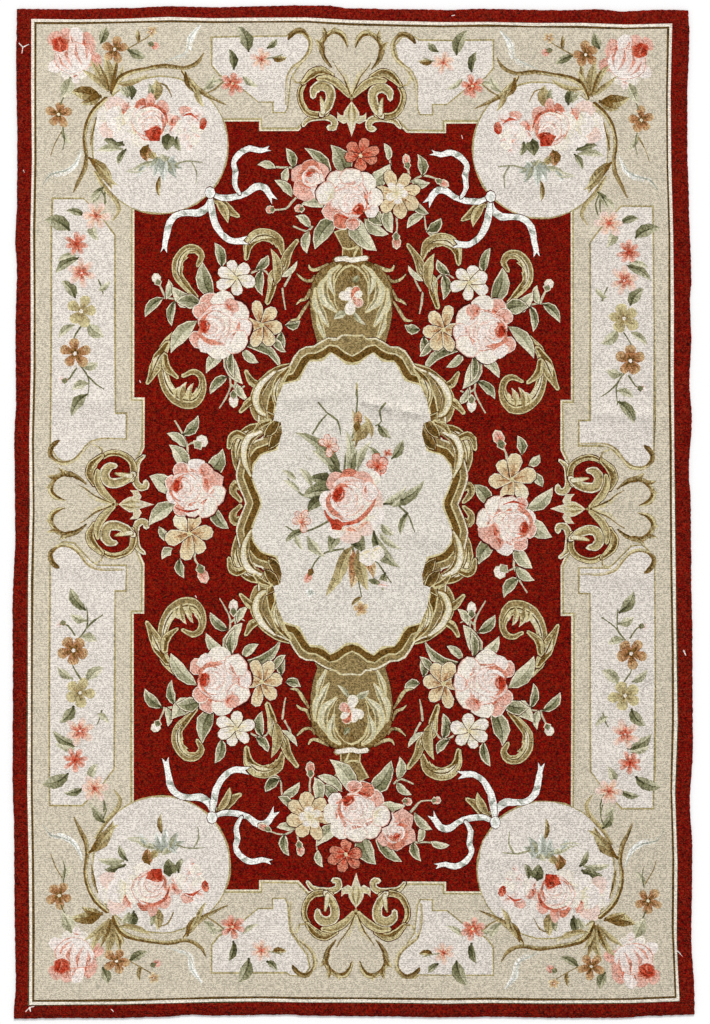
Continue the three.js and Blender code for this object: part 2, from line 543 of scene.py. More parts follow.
def leaf(base, tip, width, dye="moss", curve=0.12, rim="bone"):
    light, middle, dark = DYES[dye]
    run = tip - base
    t = LEAF_PLACES
    spine = base + run * t + 1j * run * curve * 4 * t * (1 - t)
    half = width / 2 * LEAF_WIDTHS
    half[1:-1] *= [1 + hand.uniform(-0.16, 0.16) for _ in half[1:-1]]
    ahead = np.gradient(spine)
    across = 1j * ahead / np.abs(ahead) * half
    one_side = (spine + across)[1:-1]
    other_side = (spine - across)[1:-1]
    outline = np.concatenate([[spine[0]], other_side, [spine[-1]], one_side[::-1]])
    if rim:
        dark_line(outline, RIM * 0.8)
        lay(grow(outline, RIM * 0.8), rim)
    lay(outline, light, middle, (tip, base + run * 0.3))
    if width > TWO_TONED_LEAF:
        lay(np.concatenate([spine, one_side[::-1]]), middle, dark, (tip, base + run * 0.25))
    if width > VEINED_LEAF:
        vein = "pine" if dark == "moss" else dark
        lay(stroke(spine[:-1], (2.4, 1.8, 0.4), steps=1), vein, dark, (base, tip))


def leaves(rows, curve=0.12, rim="bone"):
    for base, tip, width, dye in rows:
        leaf(page(base), page(tip), width, dye, curve, rim)


def bud(base, tip, width, dye="pink", rim="bone", cup="moss"):
    light, middle, dark = DYES[dye]
    run = tip - base
    body = blob(base + run * 0.6, abs(run) * 0.45, width / 2, turn=np.angle(run), count=7)
    hood = stroke((base - run * 0.15, base + run * 0.35), (1.0, width * 0.8, width * 0.5), steps=2)
    if rim:
        dark_line(body, RIM * 0.7)
        lay(grow(body, RIM * 0.7), rim)
        lay(grow(hood, RIM * 0.7), rim)
    lay(body, light, middle, (tip, base))
    lay(stroke((base, tip - run * 0.15), (width * 0.35, 0.5), steps=2, aside=0.5), dark, middle, (base, tip))
    lay(hood, DYES[cup][1], DYES[cup][2], (tip, base))


def twig(path, widths=(1.5, 1.2), yarn="sage_pale"):
    lay(stroke(path, widths, steps=2), yarn)


print("a leaf is widest at", LEAF_PLACES[LEAF_WIDTHS.argmax()], "of its length")

# %% [markdown]
# A blossom is seen from above, with its petals at even turns around the heart. A flower is seen from the
# side a little, so the tip of each of its petals is given.

# %% Blossoms and flowers
PETAL_PLACES = np.array([0.0, 0.35, 0.68, 0.92])
PETAL_WIDTHS = np.array([0.3, 0.78, 1.0, 0.66])


def petal_outline(base, tip, width):
    run = tip - base
    half = width / 2 * PETAL_WIDTHS
    half = half * [1 + hand.uniform(-0.1, 0.1) for _ in half]
    spine = base + run * PETAL_PLACES
    across = 1j * run / abs(run) * half
    return np.concatenate([spine - across, [tip], (spine + across)[::-1]])


def blossom(centre, radius, petals=5, turn=90, dye="tan", rim="bone", heart="straw", narrow=1.0):
    light, middle, dark = DYES[dye]
    rays = [np.exp(1j * math.radians(turn + 360 * i / petals + hand.uniform(-8, 8))) for i in range(petals)]
    width = 2 * radius * math.sin(math.pi / petals) * 0.62 * narrow
    reach = [radius * hand.uniform(0.88, 1.06) for _ in rays]
    outlines = []
    for ray, far in zip(rays, reach):
        wide = width * hand.uniform(0.9, 1.1)
        outlines.append(petal_outline(centre + ray * radius * 0.08, centre + ray * far, wide))
    if rim:
        for outline in outlines:
            dark_line(outline, RIM * 0.7)
    for ray, outline in zip(rays, outlines):
        if rim:
            lay(grow(outline, RIM * 0.7 + 0.4), dark)
            lay(grow(outline, RIM * 0.7), rim)
        lay(outline, light, middle, (centre + ray * radius * 0.95, centre + ray * radius * 0.35))
    for ray, far in zip(rays, reach):
        path = (centre + ray * radius * 0.1, centre + ray * far * 0.7 * (1+0.12j))
        lay(stroke(path, (radius * 0.17, radius * 0.2, 0.4), steps=2), dark, middle, (path[0], path[1]))
    lay(blob(centre, radius * 0.13, count=5), heart)


def flower(centre, tips, width, dye="white", rim="bone", heart="sand", odd=None):
    for index, tip in enumerate(tips):
        light, middle, dark = DYES[odd if odd and index == 0 else dye]
        outline = petal_outline(centre + (tip - centre) * 0.1, tip, width * hand.uniform(0.9, 1.1))
        if rim:
            dark_line(outline, RIM * 0.6)
        lay(grow(outline, RIM * 0.6), rim or dark)
        lay(outline, light, middle, (tip, centre))
        path = (centre, centre + (tip - centre) * 0.65)
        lay(stroke(path, (width * 0.25, width * 0.22, 0.4), steps=2), dark, middle, (centre, tip))
    lay(blob(centre, width * 0.22, count=6), heart)


print("a petal is widest at", PETAL_PLACES[PETAL_WIDTHS.argmax()], "of its length")

# %% [markdown]
# A rose is a ball of curled petals. The outer petals behind the ball come first, then the ball, then the
# bowl of petals that wraps round the heart. Those outer petals that hang over the ball's front come between
# the bowl's third and fourth petal, and the deep red heart comes last.


# %% Roses
def petal(place, across, up, turn, dye, shade, rim=None, ragged=0.1):
    light, middle, dark = DYES[dye]
    outline = blob(place, across, up, turn=math.radians(turn), count=11, rough=ragged)
    if rim:
        lay(grow(outline, 0.8), rim)
    lay(outline, light, middle, (place - (shade - place) * 0.5, shade))
    to_shade = (shade - place) / max(abs(shade - place), TINY)
    reach = min(across, up)
    inner = (place + to_shade * reach * 0.45 + 1j * to_shade * reach * 0.8, place + to_shade * reach * 0.62,
             place + to_shade * reach * 0.45 - 1j * to_shade * reach * 0.8)
    lay(stroke(inner, (0.5, reach * 0.46, 0.5), steps=2), dark, middle, (inner[0], inner[2]))
    fold = (place + to_shade * reach * 0.2, place - to_shade * reach * 0.75 * (1+0.3j))
    lay(stroke(fold, (1.6, 0.5), steps=2), middle, light, (fold[0], fold[1]))


# The petals of a bowl that wraps round the heart: share of the way out, start, end and width
BOWL = (
    (0.84, -165, -60, 0.34, "pink"), (0.84, 55, 160, 0.34, "coral"), (0.80, -58, 48, 0.36, "white"),
    (0.60, -160, -70, 0.22, "coral"), (0.58, 20, 150, 0.26, "white"), (0.56, -80, 24, 0.28, "white"),
    (0.36, -70, 60, 0.24, "white"), (0.36, 70, 160, 0.20, "pink"), (0.34, 170, 280, 0.2, "coral"),
)


def rose(middle, size, heart, outer, heart_size=0.3, rim="white"):
    outer = [(page(place) - middle, across, dye) for place, across, dye in outer]
    toward = (heart - middle) / size
    offset = abs(toward)
    facing = np.angle(-toward) if offset > 0.05 else math.pi / 2
    ball = blob(middle, size, size * 0.95, count=11, rough=0.07)
    if rim:
        dark_line(ball, 0.6)
        for place, across, _ in outer:
            dark_line(blob(middle + place, across, across * 1.15, turn=np.angle(place), count=9, rough=0),
                      0.6)
    in_front = [abs(np.angle(place * np.exp(-1j * facing))) < 1.35 for place, _, _ in outer]
    for (place, across, dye), front in zip(outer, in_front):
        if not front:
            petal(middle + place, across, across * 1.15, math.degrees(np.angle(place)), dye, middle, rim)
    lay(grow(ball, 0.8), "coral", "pink", (heart, middle * 2 - heart))
    lay(ball, "blush", "petal", (heart, middle * 2 - heart))
    for index, (share, start, end, width, dye) in enumerate(BOWL):
        light, soft, dark = DYES[dye]
        share += hand.uniform(-0.04, 0.04)
        angles = np.radians(np.linspace(start + hand.uniform(-12, 12), end + hand.uniform(-12, 12), 6))
        reach = offset * np.cos(angles) + np.sqrt(1 - (offset * np.sin(angles)) ** 2)
        reach = reach * (share + np.linspace(-1, 1, 6) * hand.uniform(-0.12, 0.12))
        wide = size * width * (0.75 + 0.3 * reach.mean())
        path = heart + np.exp(1j * (facing + angles)) * size * reach
        widths = (0.8, wide * hand.uniform(0.6, 1), wide, wide * hand.uniform(0.5, 0.9), 0.8)
        lay(stroke(path, widths, steps=2, rim=0.5), "coral" if index < 6 else dark, "blush",
            (heart, middle * 2 - heart))
        lay(stroke(path, widths, steps=2), light, soft, (middle * 2 - heart, heart))
        lay(stroke(path, (0.4, wide * 0.5, wide * 0.5, 0.4), steps=2, aside=0.5, share=0.5), soft, dark,
            (path[0], path[-1]))
        if index == 2:
            for (place, across, tint), front in zip(outer, in_front):
                if front:
                    turn = math.degrees(np.angle(place))
                    petal(middle + place * 0.94, across, across * 1.2, turn, tint, heart, "pink", 0.13)
    core = blob(heart, size * heart_size, size * heart_size * 0.72, turn=facing + 1.5, count=8, rough=0.16)
    lay(grow(core, size * 0.06), "coral", "deep_coral", (middle, heart * 2 - middle))
    lay(core, "deep_coral", "heart", (middle, heart))
    fold = heart + np.exp(1j * facing) * size * heart_size * np.array([0.3-0.6j, 0.5, 0.3+0.6j])
    lay(stroke(fold, (0.6, size * 0.1, 0.6), steps=2), "pink", "coral", (fold[0], fold[2]))


print("petals in a rose's bowl:", len(BOWL))

# %% [markdown]
# A scroll is one stroke in three shades, with its light along one side and its shade along the other. An
# acanthus leaf is a scroll with small points on its inner side and a pale leaf along its middle. A ribbon is
# a white stroke with a forked end, and a grey fold wherever it turns over.


# %% Scrolls and acanthus leaves
def scroll(path, widths, rim="straw", dye="olive", steps=3, flip=1):
    light, middle, dark = DYES[dye]
    if rim:
        lay(stroke(path, widths, steps, rim=RIM + OUTLINE), "shadow", steady=True)
        lay(stroke(path, widths, steps, rim=RIM), rim)
    lay(stroke(path, widths, steps), middle, dark, (path[-1], path[0]))
    lay(stroke(path, widths, steps, aside=0.25 * flip, share=0.4), light, middle, (path[0], path[-1]))
    lay(stroke(path, widths, steps, aside=-0.3 * flip, share=0.16), dark)


def acanthus(path, widths, jags=(), side=1, rim="straw", length=1.0, pale=True, ground=True):
    spine = flow(path, 3)
    half = np.interp(np.linspace(0, 1, len(spine)), np.linspace(0, 1, len(widths)), widths) / 2
    ahead = np.gradient(spine)
    ahead = ahead / np.abs(ahead)
    points = []
    for share in jags:
        i = round(share * (len(spine) - 1))
        inner = -1j * side * ahead[i] * half[i]
        tip = spine[i] + (inner * 1.9 + ahead[i] * half[i] * 1.5) * length
        points.append((spine[i] - ahead[i] * half[i] * 0.9 + inner * 0.5, tip, spine[i] + ahead[i] * half[i]))
    if ground:
        for jag in points:
            lay(grow(jag, RIM + OUTLINE), "shadow", steady=True)
        lay(stroke(path, widths, rim=RIM + OUTLINE), "shadow", steady=True)
    for jag in points:
        lay(grow(jag, RIM), rim)
    lay(stroke(path, widths, rim=RIM), rim)
    for jag in points:
        lay(jag, "khaki", "umber", (jag[1], jag[0]))
    lay(stroke(path, widths), "khaki", "umber", (path[-1], path[0]))
    lay(stroke(path, widths, aside=0.28 * side, share=0.34), "straw", "khaki", (path[0], path[-1]))
    if pale:
        cut = spine[len(spine) // 5:-len(spine) // 5]
        wide = half[len(spine) // 5:-len(spine) // 5].max()
        lay(stroke(cut, (0.5, wide * 1.1, wide * 0.9, 0.5), steps=1, aside=-0.3 * side), "bone", "straw",
            (cut[0], cut[-1]))
    lay(stroke(path, widths, aside=-0.08 * side, share=0.12), "umber", "bark", (path[0], path[-1]))


tell("the grounds alone")

# %% Ribbons
RIBBON_SHARE = 0.92
RIBBON_RIM = 0.2


def ribbon(path, widths, folds=()):
    widths = np.array(widths) * RIBBON_SHARE
    spine = flow(path, 3)
    end = spine[-1]
    ahead = (spine[-1] - spine[-3]) / abs(spine[-1] - spine[-3])
    wide = widths[-1] / 2
    length = widths[-1] * 1.3
    tail = np.array([end - ahead * 2 - 1j * ahead * wide, end + ahead * length - 1j * ahead * wide * 1.5,
                     end + ahead * length * 0.3, end + ahead * length * 1.1 + 1j * ahead * wide * 1.4,
                     end - ahead * 2 + 1j * ahead * wide])
    lay(stroke(path, widths, rim=OUTLINE + RIBBON_RIM), "shadow", steady=True)
    lay(grow(tail, OUTLINE + RIBBON_RIM), "shadow", steady=True)
    lay(tail, "snow")
    lay(stroke(path, widths, rim=RIBBON_RIM), "snow")
    lay(stroke(path, widths, aside=-0.3, share=0.36), "silver", "snow", (path[0], path[-1]))
    for share in folds:
        i = round(share * (len(spine) - 1))
        way = spine[min(i + 1, len(spine) - 1)] - spine[max(i - 1, 0)]
        way = way / abs(way)
        wide = np.interp(share, np.linspace(0, 1, len(widths)), widths) / 2
        lay((spine[i] - way * wide * 1.2 - 1j * way * wide, spine[i] + way * wide * 0.3 + 1j * way * wide,
             spine[i] + way * wide * 1.6 + 1j * way * wide * 0.6,
             spine[i] + way * wide * 0.5 - 1j * way * wide), "grey", "silver", (spine[i], spine[i] + way * 3))


print("a ribbon is woven at", RIBBON_SHARE, "of its drawn width")

# %% [markdown]
# ## The palmettes
# In the middle of each side of the border a palmette of two scrolls opens like a heart, over red ovals. It
# is drawn once, as the half to the right of its axis, then mirrored and turned to the four sides.

# %% One half of a palmette, drawn outwards from its knot
KNOTS = (
    (1, page(352, 95.5)),
    (1j, page(114, 505)),
    (-1, page(356.4, 912.6)),
    (-1j, page(591, 507)),
)
PALMETTE_RED = (
    0+0j, 12+9j, 22+16j, 31+22j, 40+18j, 47+9j, 50-2j, 48-11j, 41-18j, 32-21j, 24-20j,
    19-27j, 17-32j, 22-36j, 0-42j,
)


def palmette_half(flip):
    scroll((48-30j, 43-24.5j, 34-22.5j, 24-22j, 17.5-26j, 18-32j, 22-32.5j),
           (1.6, 3.4, 4, 5, 5, 4.6, 3.4), "bone", "fawn", flip=flip)
    scroll((47+12j, 51.5+2j, 49.7-9j, 43.5-17.5j, 34-20j, 25-18j), (2.6, 3.4, 3.6, 4, 4.4, 3),
           flip=flip)
    curl = (30-19.5j, 24.5-12.5j, 21-2j, 23+6j, 31+9j, 37.5+4.5j, 38.5-1.5j)
    scroll(curl, (3, 6.5, 7.5, 8, 8, 7, 3), "bone", "fawn", flip=flip)
    lay(stroke((28.5-18j, 29.5-8j, 31-2j), (4, 3.6, 1), steps=2, rim=0.6), "khaki")
    lay(stroke((28.5-18j, 29.5-8j, 31-2j), (4, 3.6, 1), steps=2), "bone", "straw", (28-18j, 31-2j))
    scroll((48+12j, 40+20.5j, 30.5+24j, 20+19.5j), (2.4, 6.6, 6, 1.6), "straw", "olive", flip=flip)
    scroll((33+16j, 24+16.5j, 13+11j, 2.5+0.5j), (1.6, 5, 5.6, 2.6), "straw", "fawn", flip=flip)
    stem = (1.5+2j, 5+11j, 9+19.5j, 15+27j, 19+34j)
    lay(stroke(stem, (2, 4.6, 5.4, 4, 1), steps=2, aside=0.3), "straw", "ground", (stem[0], stem[-1]))
    lay(stroke(stem, (1.2, 1.6, 1.4, 0.8), steps=2), "umber", "khaki", (stem[0], stem[-1]))
    crook = (20+27j, 27+36j, 30.5+46j, 28+55j, 20+62j, 12+62.5j, 6.4+57j, 3.7+48.5j)
    lay(stroke(crook, (1.6, 4.4, 5.6, 5, 5, 6, 5, 1.4)), "khaki", "umber", (crook[5], crook[1]))
    lay(stroke(crook, (0.6, 1.8, 2.4, 2, 2, 2.4, 2, 0.6), aside=0.6), "umber", "bark", (crook[5], crook[1]))
    lay(stroke(crook, (0.6, 1.6, 2.0, 1.8, 1.8, 2.2, 1.8, 0.6), aside=-0.6), "straw", "khaki",
        (crook[5], crook[1]))
    leaf(28+38j, 37+55j, 6, "olive", 0.12, None)
    leaf(28+52j, 28.5+67j, 5, "olive", 0.1, None)
    leaf(22+59j, 16+68.5j, 4, "olive", 0.1, None)
    lay(stroke((59.5+20.5j, 56+12j, 48+11.5j), (1.4, 2.2, 1.4), steps=2), "straw", "khaki",
        (60+20j, 48+11j))
    lily = (0-6j, 3.5-11j, 6.5-16j, 7-21j, 12-20j, 14-17.5j, 13.5-24j, 8-27j, 4-25j, 2-31j,
             0-39j)
    lay(grow(lily, 0.9), "bone")
    lay(lily, "straw", "ground", (-8j, -38j))
    lay(stroke((0.8-9j, 3-17j, 2-27j), (1, 2.4, 0.6), steps=2), "khaki", "fawn", (-9j, -27j))


def panel_hook():
    path = (65-10j, 65+12j, 60+25j, 51+32j, 43+41j, 41+52j, 45+60j)
    lay(stroke(path, (2.2, 3.0, 3.4, 3.6, 4, 4, 3)), "fawn", "khaki", (path[0], path[-1]))
    lay(stroke(path, (1.0, 1.4, 1.6, 1.8, 2, 2, 1.6), aside=0.4), "ground", "straw", (path[0], path[-1]))
    head = (43.5+57j, 48+62.5j, 55+62.5j, 61+58j, 63.5+54j)
    lay(stroke(head, (2, 5, 5.4, 5, 2.4), steps=2), "khaki", "umber", (head[2], head[4]))
    lay(stroke(head, (1, 2, 2, 2, 1), steps=2, aside=-0.5), "umber", "bark", (head[0], head[-1]))


for turn, knot in KNOTS:
    origin = complex(-knot.real, knot.imag)
    for flip in (-1, 1):
        cartoon.stand(flip, 1, turn, origin)
        lay(PALMETTE_RED, "field_red", steady=True)
    for flip in (-1, 1):
        cartoon.stand(flip, 1, turn, origin)
        panel_hook()
        palmette_half(flip)
    cartoon.stand(1, 1, turn, origin)
    lay((0+4j, 2.6-0.5j, 0-6j, -2.6-0.5j), "straw", "khaki", (4j, -6j))
    lay(blob(0.5j, 1.6, count=6), "umber")
tell("the palmettes")

# %% [markdown]
# ## The border's flowers
# Each corner holds a rose, two small blossoms and a branch that runs both ways around its circle. Inside the
# circle lies a spray of roses. The long panels hold a loose column of blossoms and leaves.


# %% The corner group
def soft_petals(rows, shade):
    for x, y, across, up, turn, dye in rows:
        petal(page(x, y), across, up, turn, dye, shade)


def corner_rose():
    shade = page(62, 48)
    soft_petals((
        (53, 38.5, 6, 8, 30, "coral"), (94, 60, 7, 9, -50, "coral"), (88, 44, 7, 12, -15, "coral"),
        (56, 66, 7, 9, 60, "pink"), (65, 36, 7, 8, 10, "coral"), (76, 38, 7, 11, -10, "pink"),
        (82, 73, 8, 6, -30, "white"), (68, 75, 8, 6, 20, "white"), (75, 79, 4, 5, 0, "pink"),
    ), shade)
    bowl = blob(page(73, 58), 19, 15, turn=-0.1, count=14, rough=0.06)
    lay(grow(bowl, 0.7), "coral", "pink", pages(58+50j, 90+70j))
    lay(bowl, "blush", "petal", pages(62+46j, 78+70j))
    for path, wide in (
        (pages(68+46j, 66+56j, 72+67j), 3.4), (pages(76+43j, 76+54j, 82+65j), 3),
        (pages(84+44j, 87+52j, 86+61j), 3.2), (pages(58+56j, 62+64j, 70+70j), 2.4),
    ):
        lay(stroke(path, (0.6, wide * 1.2, 0.6), steps=3), "coral", "pink", (path[0], path[-1]))
    heart = pages(53+41j, 60+38j, 67+42j, 66+50j, 60+52.5j, 54+49j)
    lay(grow(heart, 1.4), "deep_coral", "coral", pages(52+40j, 70+50j))
    lay(heart, "deep_coral", "heart", pages(66+50j, 54+42j))
    lay(stroke(pages(52+50j, 60+54j, 67+50j), (0.6, 3, 0.6), steps=2), "blush")
    lay(stroke(pages(57+40j, 60+46j, 59+51j), (0.6, 1.6, 0.6), steps=2), "coral")


def corner_group():
    corner_rose()
    for base, tip, width, dye in (
        (108+92j, 90+60j, 8, "fawn"), (108+92j, 82+70j, 6, "fawn"), (110+91j, 104+55j, 9, "fawn"),
        (111+91j, 118+57j, 7, "olive"), (109+92j, 97+62j, 6, "olive"), (112+90j, 123+66j, 5, "fawn"),
        (101+98j, 69+92j, 13, "olive"), (101+96j, 80+104j, 9, "olive"), (101+44j, 106+27j, 10, "moss"),
        (128+50.5j, 146+59j, 9, "moss"), (139+45j, 138+30j, 5, "olive"), (70+78j, 61+99j, 12, "sage"),
    ):
        leaf(page(base), page(tip), width, dye, hand.uniform(-0.12, 0.12), None)
    blossom(page(114.8, 50), 14, 5, 100, "russet", None, "white", 0.9)
    twig(pages(128+50j, 140+43j, 150+37j, 155+29j), yarn="khaki")
    bud(page(150, 45), page(159, 49), 8, "coral", None)
    blossom(page(152, 33), 6, 5, 60, "tan", None, "petal", 0.9)
    wisp = pages(200.5+27j, 191+39.8j, 188+53.6j, 177.6+60j, 163+65j)
    lay(stroke(wisp, (1.6, 7, 5, 6, 1)), "snow", "ground", (wisp[0], wisp[-1]))
    lay(stroke(wisp, (0.6, 1.6, 1.2, 1.6, 0.6), steps=2, aside=0.8), "silver")
    branch = pages(112+94j, 119+80j, 130+73.5j, 146+70j, 166+67.5j, 184+69.5j, 197.5+64j, 204+54j)
    scroll(branch, (4, 6, 5, 4, 4.5, 4, 4, 1.6), None, "olive")
    leaf(page(116, 84), page(150, 74), 6, "fawn", 0.12, None)
    strand = pages(182+72j, 190+82j, 199+91j, 211+98j, 226+105j)
    scroll(strand, (2, 6, 6, 3.6, 1.4), None, "olive", flip=-1)
    leaf(page(196, 86), page(205, 108), 6, "fawn", 0.1, None)
    leaf(page(186, 74), page(196, 94), 7, "olive", 0.1, None)
    down = pages(106+99j, 94+110j, 86.5+124j, 84+140j, 86+156j, 84+170j, 78+182j, 73+193j)
    scroll(down, (5, 4.6, 4.4, 4, 4, 5, 4, 1.4), None, "olive", flip=-1)
    scroll(pages(96+118j, 92+132j, 90+146j), (1.4, 3.4, 1.2), None, "olive")
    leaf(page(88, 158), page(112, 190), 12, "olive", -0.1, None)
    leaf(page(96, 164), page(118, 186), 7, "fawn", 0.1, None)
    scroll(pages(94+172j, 104+188j, 115+200j, 119+211j, 113+221j), (2, 4.6, 5, 4, 1.4), None, "fawn")
    leaf(page(103, 188), page(93, 204), 8, "moss", 0.1, None)
    twig(pages(101+190j, 105+200j, 102.6+211j), (2, 1.2), "moss")
    blossom(page(58, 115), 14, 5, 95, "russet", None, "bone", 0.9)
    leaf(page(61, 130), page(72, 145), 6, "sage", 0.1, None)
    twig(pages(62+128j, 64+140j, 62+150j), (1.6, 1), "moss")
    twig(pages(61+132j, 54+144j, 50+156j), (1.4, 1), "khaki")
    twig(pages(63+98j, 60+105j), (1.6, 1.4), "moss")
    wisp = pages(81+150j, 75+165j, 64+173j, 50+176j, 42+186j)
    lay(stroke(wisp, (0.8, 4.6, 6, 5, 1)), "snow", "ground", (wisp[1], wisp[-1]))
    lay(stroke(wisp, (0.6, 1.4, 1.8, 1.4, 0.6), steps=2, aside=0.6), "silver", "grey", (wisp[0], wisp[-1]))


print("a corner's branch spans", round(abs(page(112, 94) - page(204, 54)) * SQUARE), "mm")


# %% The spray inside a circle
def circle_spray():
    leaves((
        (132+100j, 127+83j, 10, "dark"), (128+98j, 119+88j, 7, "sage"), (153+103j, 156+80j, 13, "fawn"),
        (150+100j, 149+84j, 6, "moss"), (124+146j, 103+141j, 11, "dark"), (122+150j, 96+152j, 8, "sage"),
        (126+150j, 118+166j, 7, "moss"), (148+146j, 147+162j, 12, "russet"),
        (173+134j, 167+152j, 13, "dark"), (177+138j, 181+152j, 8, "moss"), (161+176j, 160+198j, 5, "olive"),
        (150+152j, 158+160j, 8, "fawn"),
    ), 0.1, None)
    shade = page(124, 120)
    soft_petals((
        (104, 122, 9, 15, 10, "cream"), (117, 107, 13, 10, 30, "peach"), (110, 130, 12, 9, -20, "peach"),
        (122, 134, 10, 8, -30, "cream"), (118, 120, 12, 13, 0, "cream"), (127, 112, 5, 9, -20, "coral"),
    ), shade)
    twig(pages(129+103j, 126+114j, 127+124j), (1, 2.6, 1), "coral")
    soft_petals((
        (141, 106, 5, 8, 35, "orange"), (151, 102, 5, 8, 0, "coral"), (163, 109, 6, 8, -30, "coral"),
        (170, 121, 6, 9, -70, "peach"), (176, 124, 6, 8, 10, "coral"), (174, 132, 5, 6, 20, "pink"),
        (132, 118, 8, 11, 20, "white"), (130, 132, 11, 8, -25, "cream"), (142, 140, 11, 7, -20, "white"),
    ), page(152, 122))
    rose(page(148, 122), 17, page(154, 134), (), 0.42, rim=None)
    lay(stroke(pages(139+110j, 152+106j, 164+113j, 168+124j), (0.8, 3, 3.4, 1), steps=3), "coral",
        "deep_coral", pages(139+110j, 168+124j))
    heart = pages(144+132j, 152+129.5j, 161+135j, 160+142j, 150+141.5j)
    lay(heart, "heart", "deep_coral", pages(158+139j, 147+133j))
    soft_petals((
        (187, 113, 8, 6, 20, "coral"), (197, 113, 6, 7, -20, "pink"), (181, 129, 6, 9, 0, "white"),
        (189, 122, 8, 9, 0, "pink"), (198, 127, 8, 8, 0, "white"), (186, 141, 7, 8, 10, "pink"),
        (195, 139, 6, 7, -10, "white"), (190, 148, 3, 5, 0, "pink"),
    ), page(200, 122))
    lay(blob(page(203.5, 124), 4.2, 6.4, turn=0.2, count=7, rough=0.15), "heart", "coral",
        pages(206+128j, 201+119j))
    lay(stroke(pages(183+117j, 191+115j, 199+121j), (0.6, 3, 0.6), steps=2), "deep_coral")
    twig(pages(128+171j, 142+167j, 158+162j), (1, 2.2, 1.6), "sage_pale")
    leaves((
        (158+163j, 133+172j, 6, "sage"), (146+166j, 138+178j, 5, "grey"), (166+158j, 150+169j, 7, "silver"),
        (166+158j, 183+169j, 7, "silver"), (164+158j, 155+179j, 8, "grey"),
        (169+158j, 177+179j, 8, "silver"), (166+157j, 165+183j, 9, "grey"), (166+163j, 160+155j, 5, "sage"),
        (168+163j, 175+156j, 5, "grey"),
    ), 0.08, None)
    twig(pages(176+165j, 188+162j, 203+163j), (2, 1.8, 1), "sage")
    twig(pages(192+163j, 197+172j, 196+184j), (1.8, 1.6, 1), "sage")
    twig(pages(126+172j, 136+173j, 146+171j), (1, 2, 1), "sage_pale")
    twig(pages(157+84j, 166+87j, 172+98j), (1, 2, 1), "khaki")


for place in CORNERS:
    stand_at_circle(place)
    circle_spray()
    corner_group()
tell("the corners")


# %% The flowers of the panels
def top_panel_flowers():
    for base, tip, width, dye in (
        (104+453.4j, 115+478j, 13, "moss"), (85.5+456.6j, 76+466j, 7, "moss"),
        (119+436j, 124+456j, 8, "dark"), (148+416j, 138+432j, 8, "sage"),
        (110+429.5j, 93.5+419j, 6, "sage"), (80+447j, 66+447j, 7, "olive"),
        (128+424j, 141+421j, 5, "sage"),
    ):
        leaf(base, tip, width, dye, 0.12, None)
    twig((93+446j, 80+447j, 70+450j), yarn="sage")
    twig((129+424j, 138+416j, 150+410j), (1.6, 2, 1), "khaki")
    blossom(91+445.4j, 12, 6, 80, "peach", None, "deep_coral", 0.8)
    blossom(120+421.5j, 12.5, 6, 100, "coral", None, "sand", 0.85)


def side_panel_flowers():
    for path in (
        (248.5+313j, 248+303j, 252+293j), (250+211.5j, 252+219j, 255+225.6j),
        (271+180j, 277+171j, 280+163j), (274+141j, 266.7+132j, 264+123.7j, 265+108j),
        (265+129j, 258+122j, 249+116j), (276.6+137j, 283.3+127j, 290+124j),
    ):
        twig(path, (1.8, 1.6, 1.2), "moss")
    for base, tip, width, dye in (
        (269+289.5j, 288+294j, 7, "moss"), (252+314j, 262+303j, 6, "sage"),
        (262+283j, 254+265j, 9, "sage"), (283+275j, 309+285j, 14, "moss"),
        (274+247j, 298+232j, 10, "moss"), (276+250j, 296+244j, 6, "sage"),
        (278+207.4j, 292+224j, 11, "moss"), (279+180j, 294+167j, 8, "sage"),
        (265+182j, 248+169j, 12, "sage"), (270+138j, 255+143j, 9, "sage"),
        (265+122j, 281+115j, 8, "sage"), (266+111j, 281+89j, 11, "moss"),
        (255+215j, 243+225j, 6, "sage"),
    ):
        leaf(base, tip, width, dye, 0.12, None)
    blossom(257+289.5j, 14.5, 6, 60, "peach", None, "deep_coral", 0.85)
    blossom(276.6+261.3j, 12.5, 7, 90, "coral", None, "heart", 0.85)
    blossom(271.7+232.4j, 15.5, 6, 80, "peach", None, "heart", 0.75)
    blossom(271.7+232.4j, 10, 5, 50, "coral", None, "blush", 0.7)
    blossom(271.7+194j, 16.5, 5, 30, "fawn", None, "white", 0.95)
    blossom(278+151.8j, 16, 5, 90, "russet", None, "petal", 0.95)
    bud(287+124j, 296+126.5j, 8, "pink", None)


for place, shift in SIDE_PANEL_SHIFTS.items():
    cartoon.stand(*place)
    top_panel_flowers()
    cartoon.stand(*place, origin=shift)
    side_panel_flowers()
tell("the panels' flowers")

# %% [markdown]
# ## The field's flowers
# On the red field stand four large sprays with ribbons, one spray at each side and one at each end. The
# ones that face each other are mirrored or turned copies, as in the weaver's cartoon.

# %% The large spray of one quarter
QUARTERS = {TOP_LEFT: 0, TOP_RIGHT: -3.5j, BOTTOM_LEFT: 5.5j, BOTTOM_RIGHT: 4.5j}


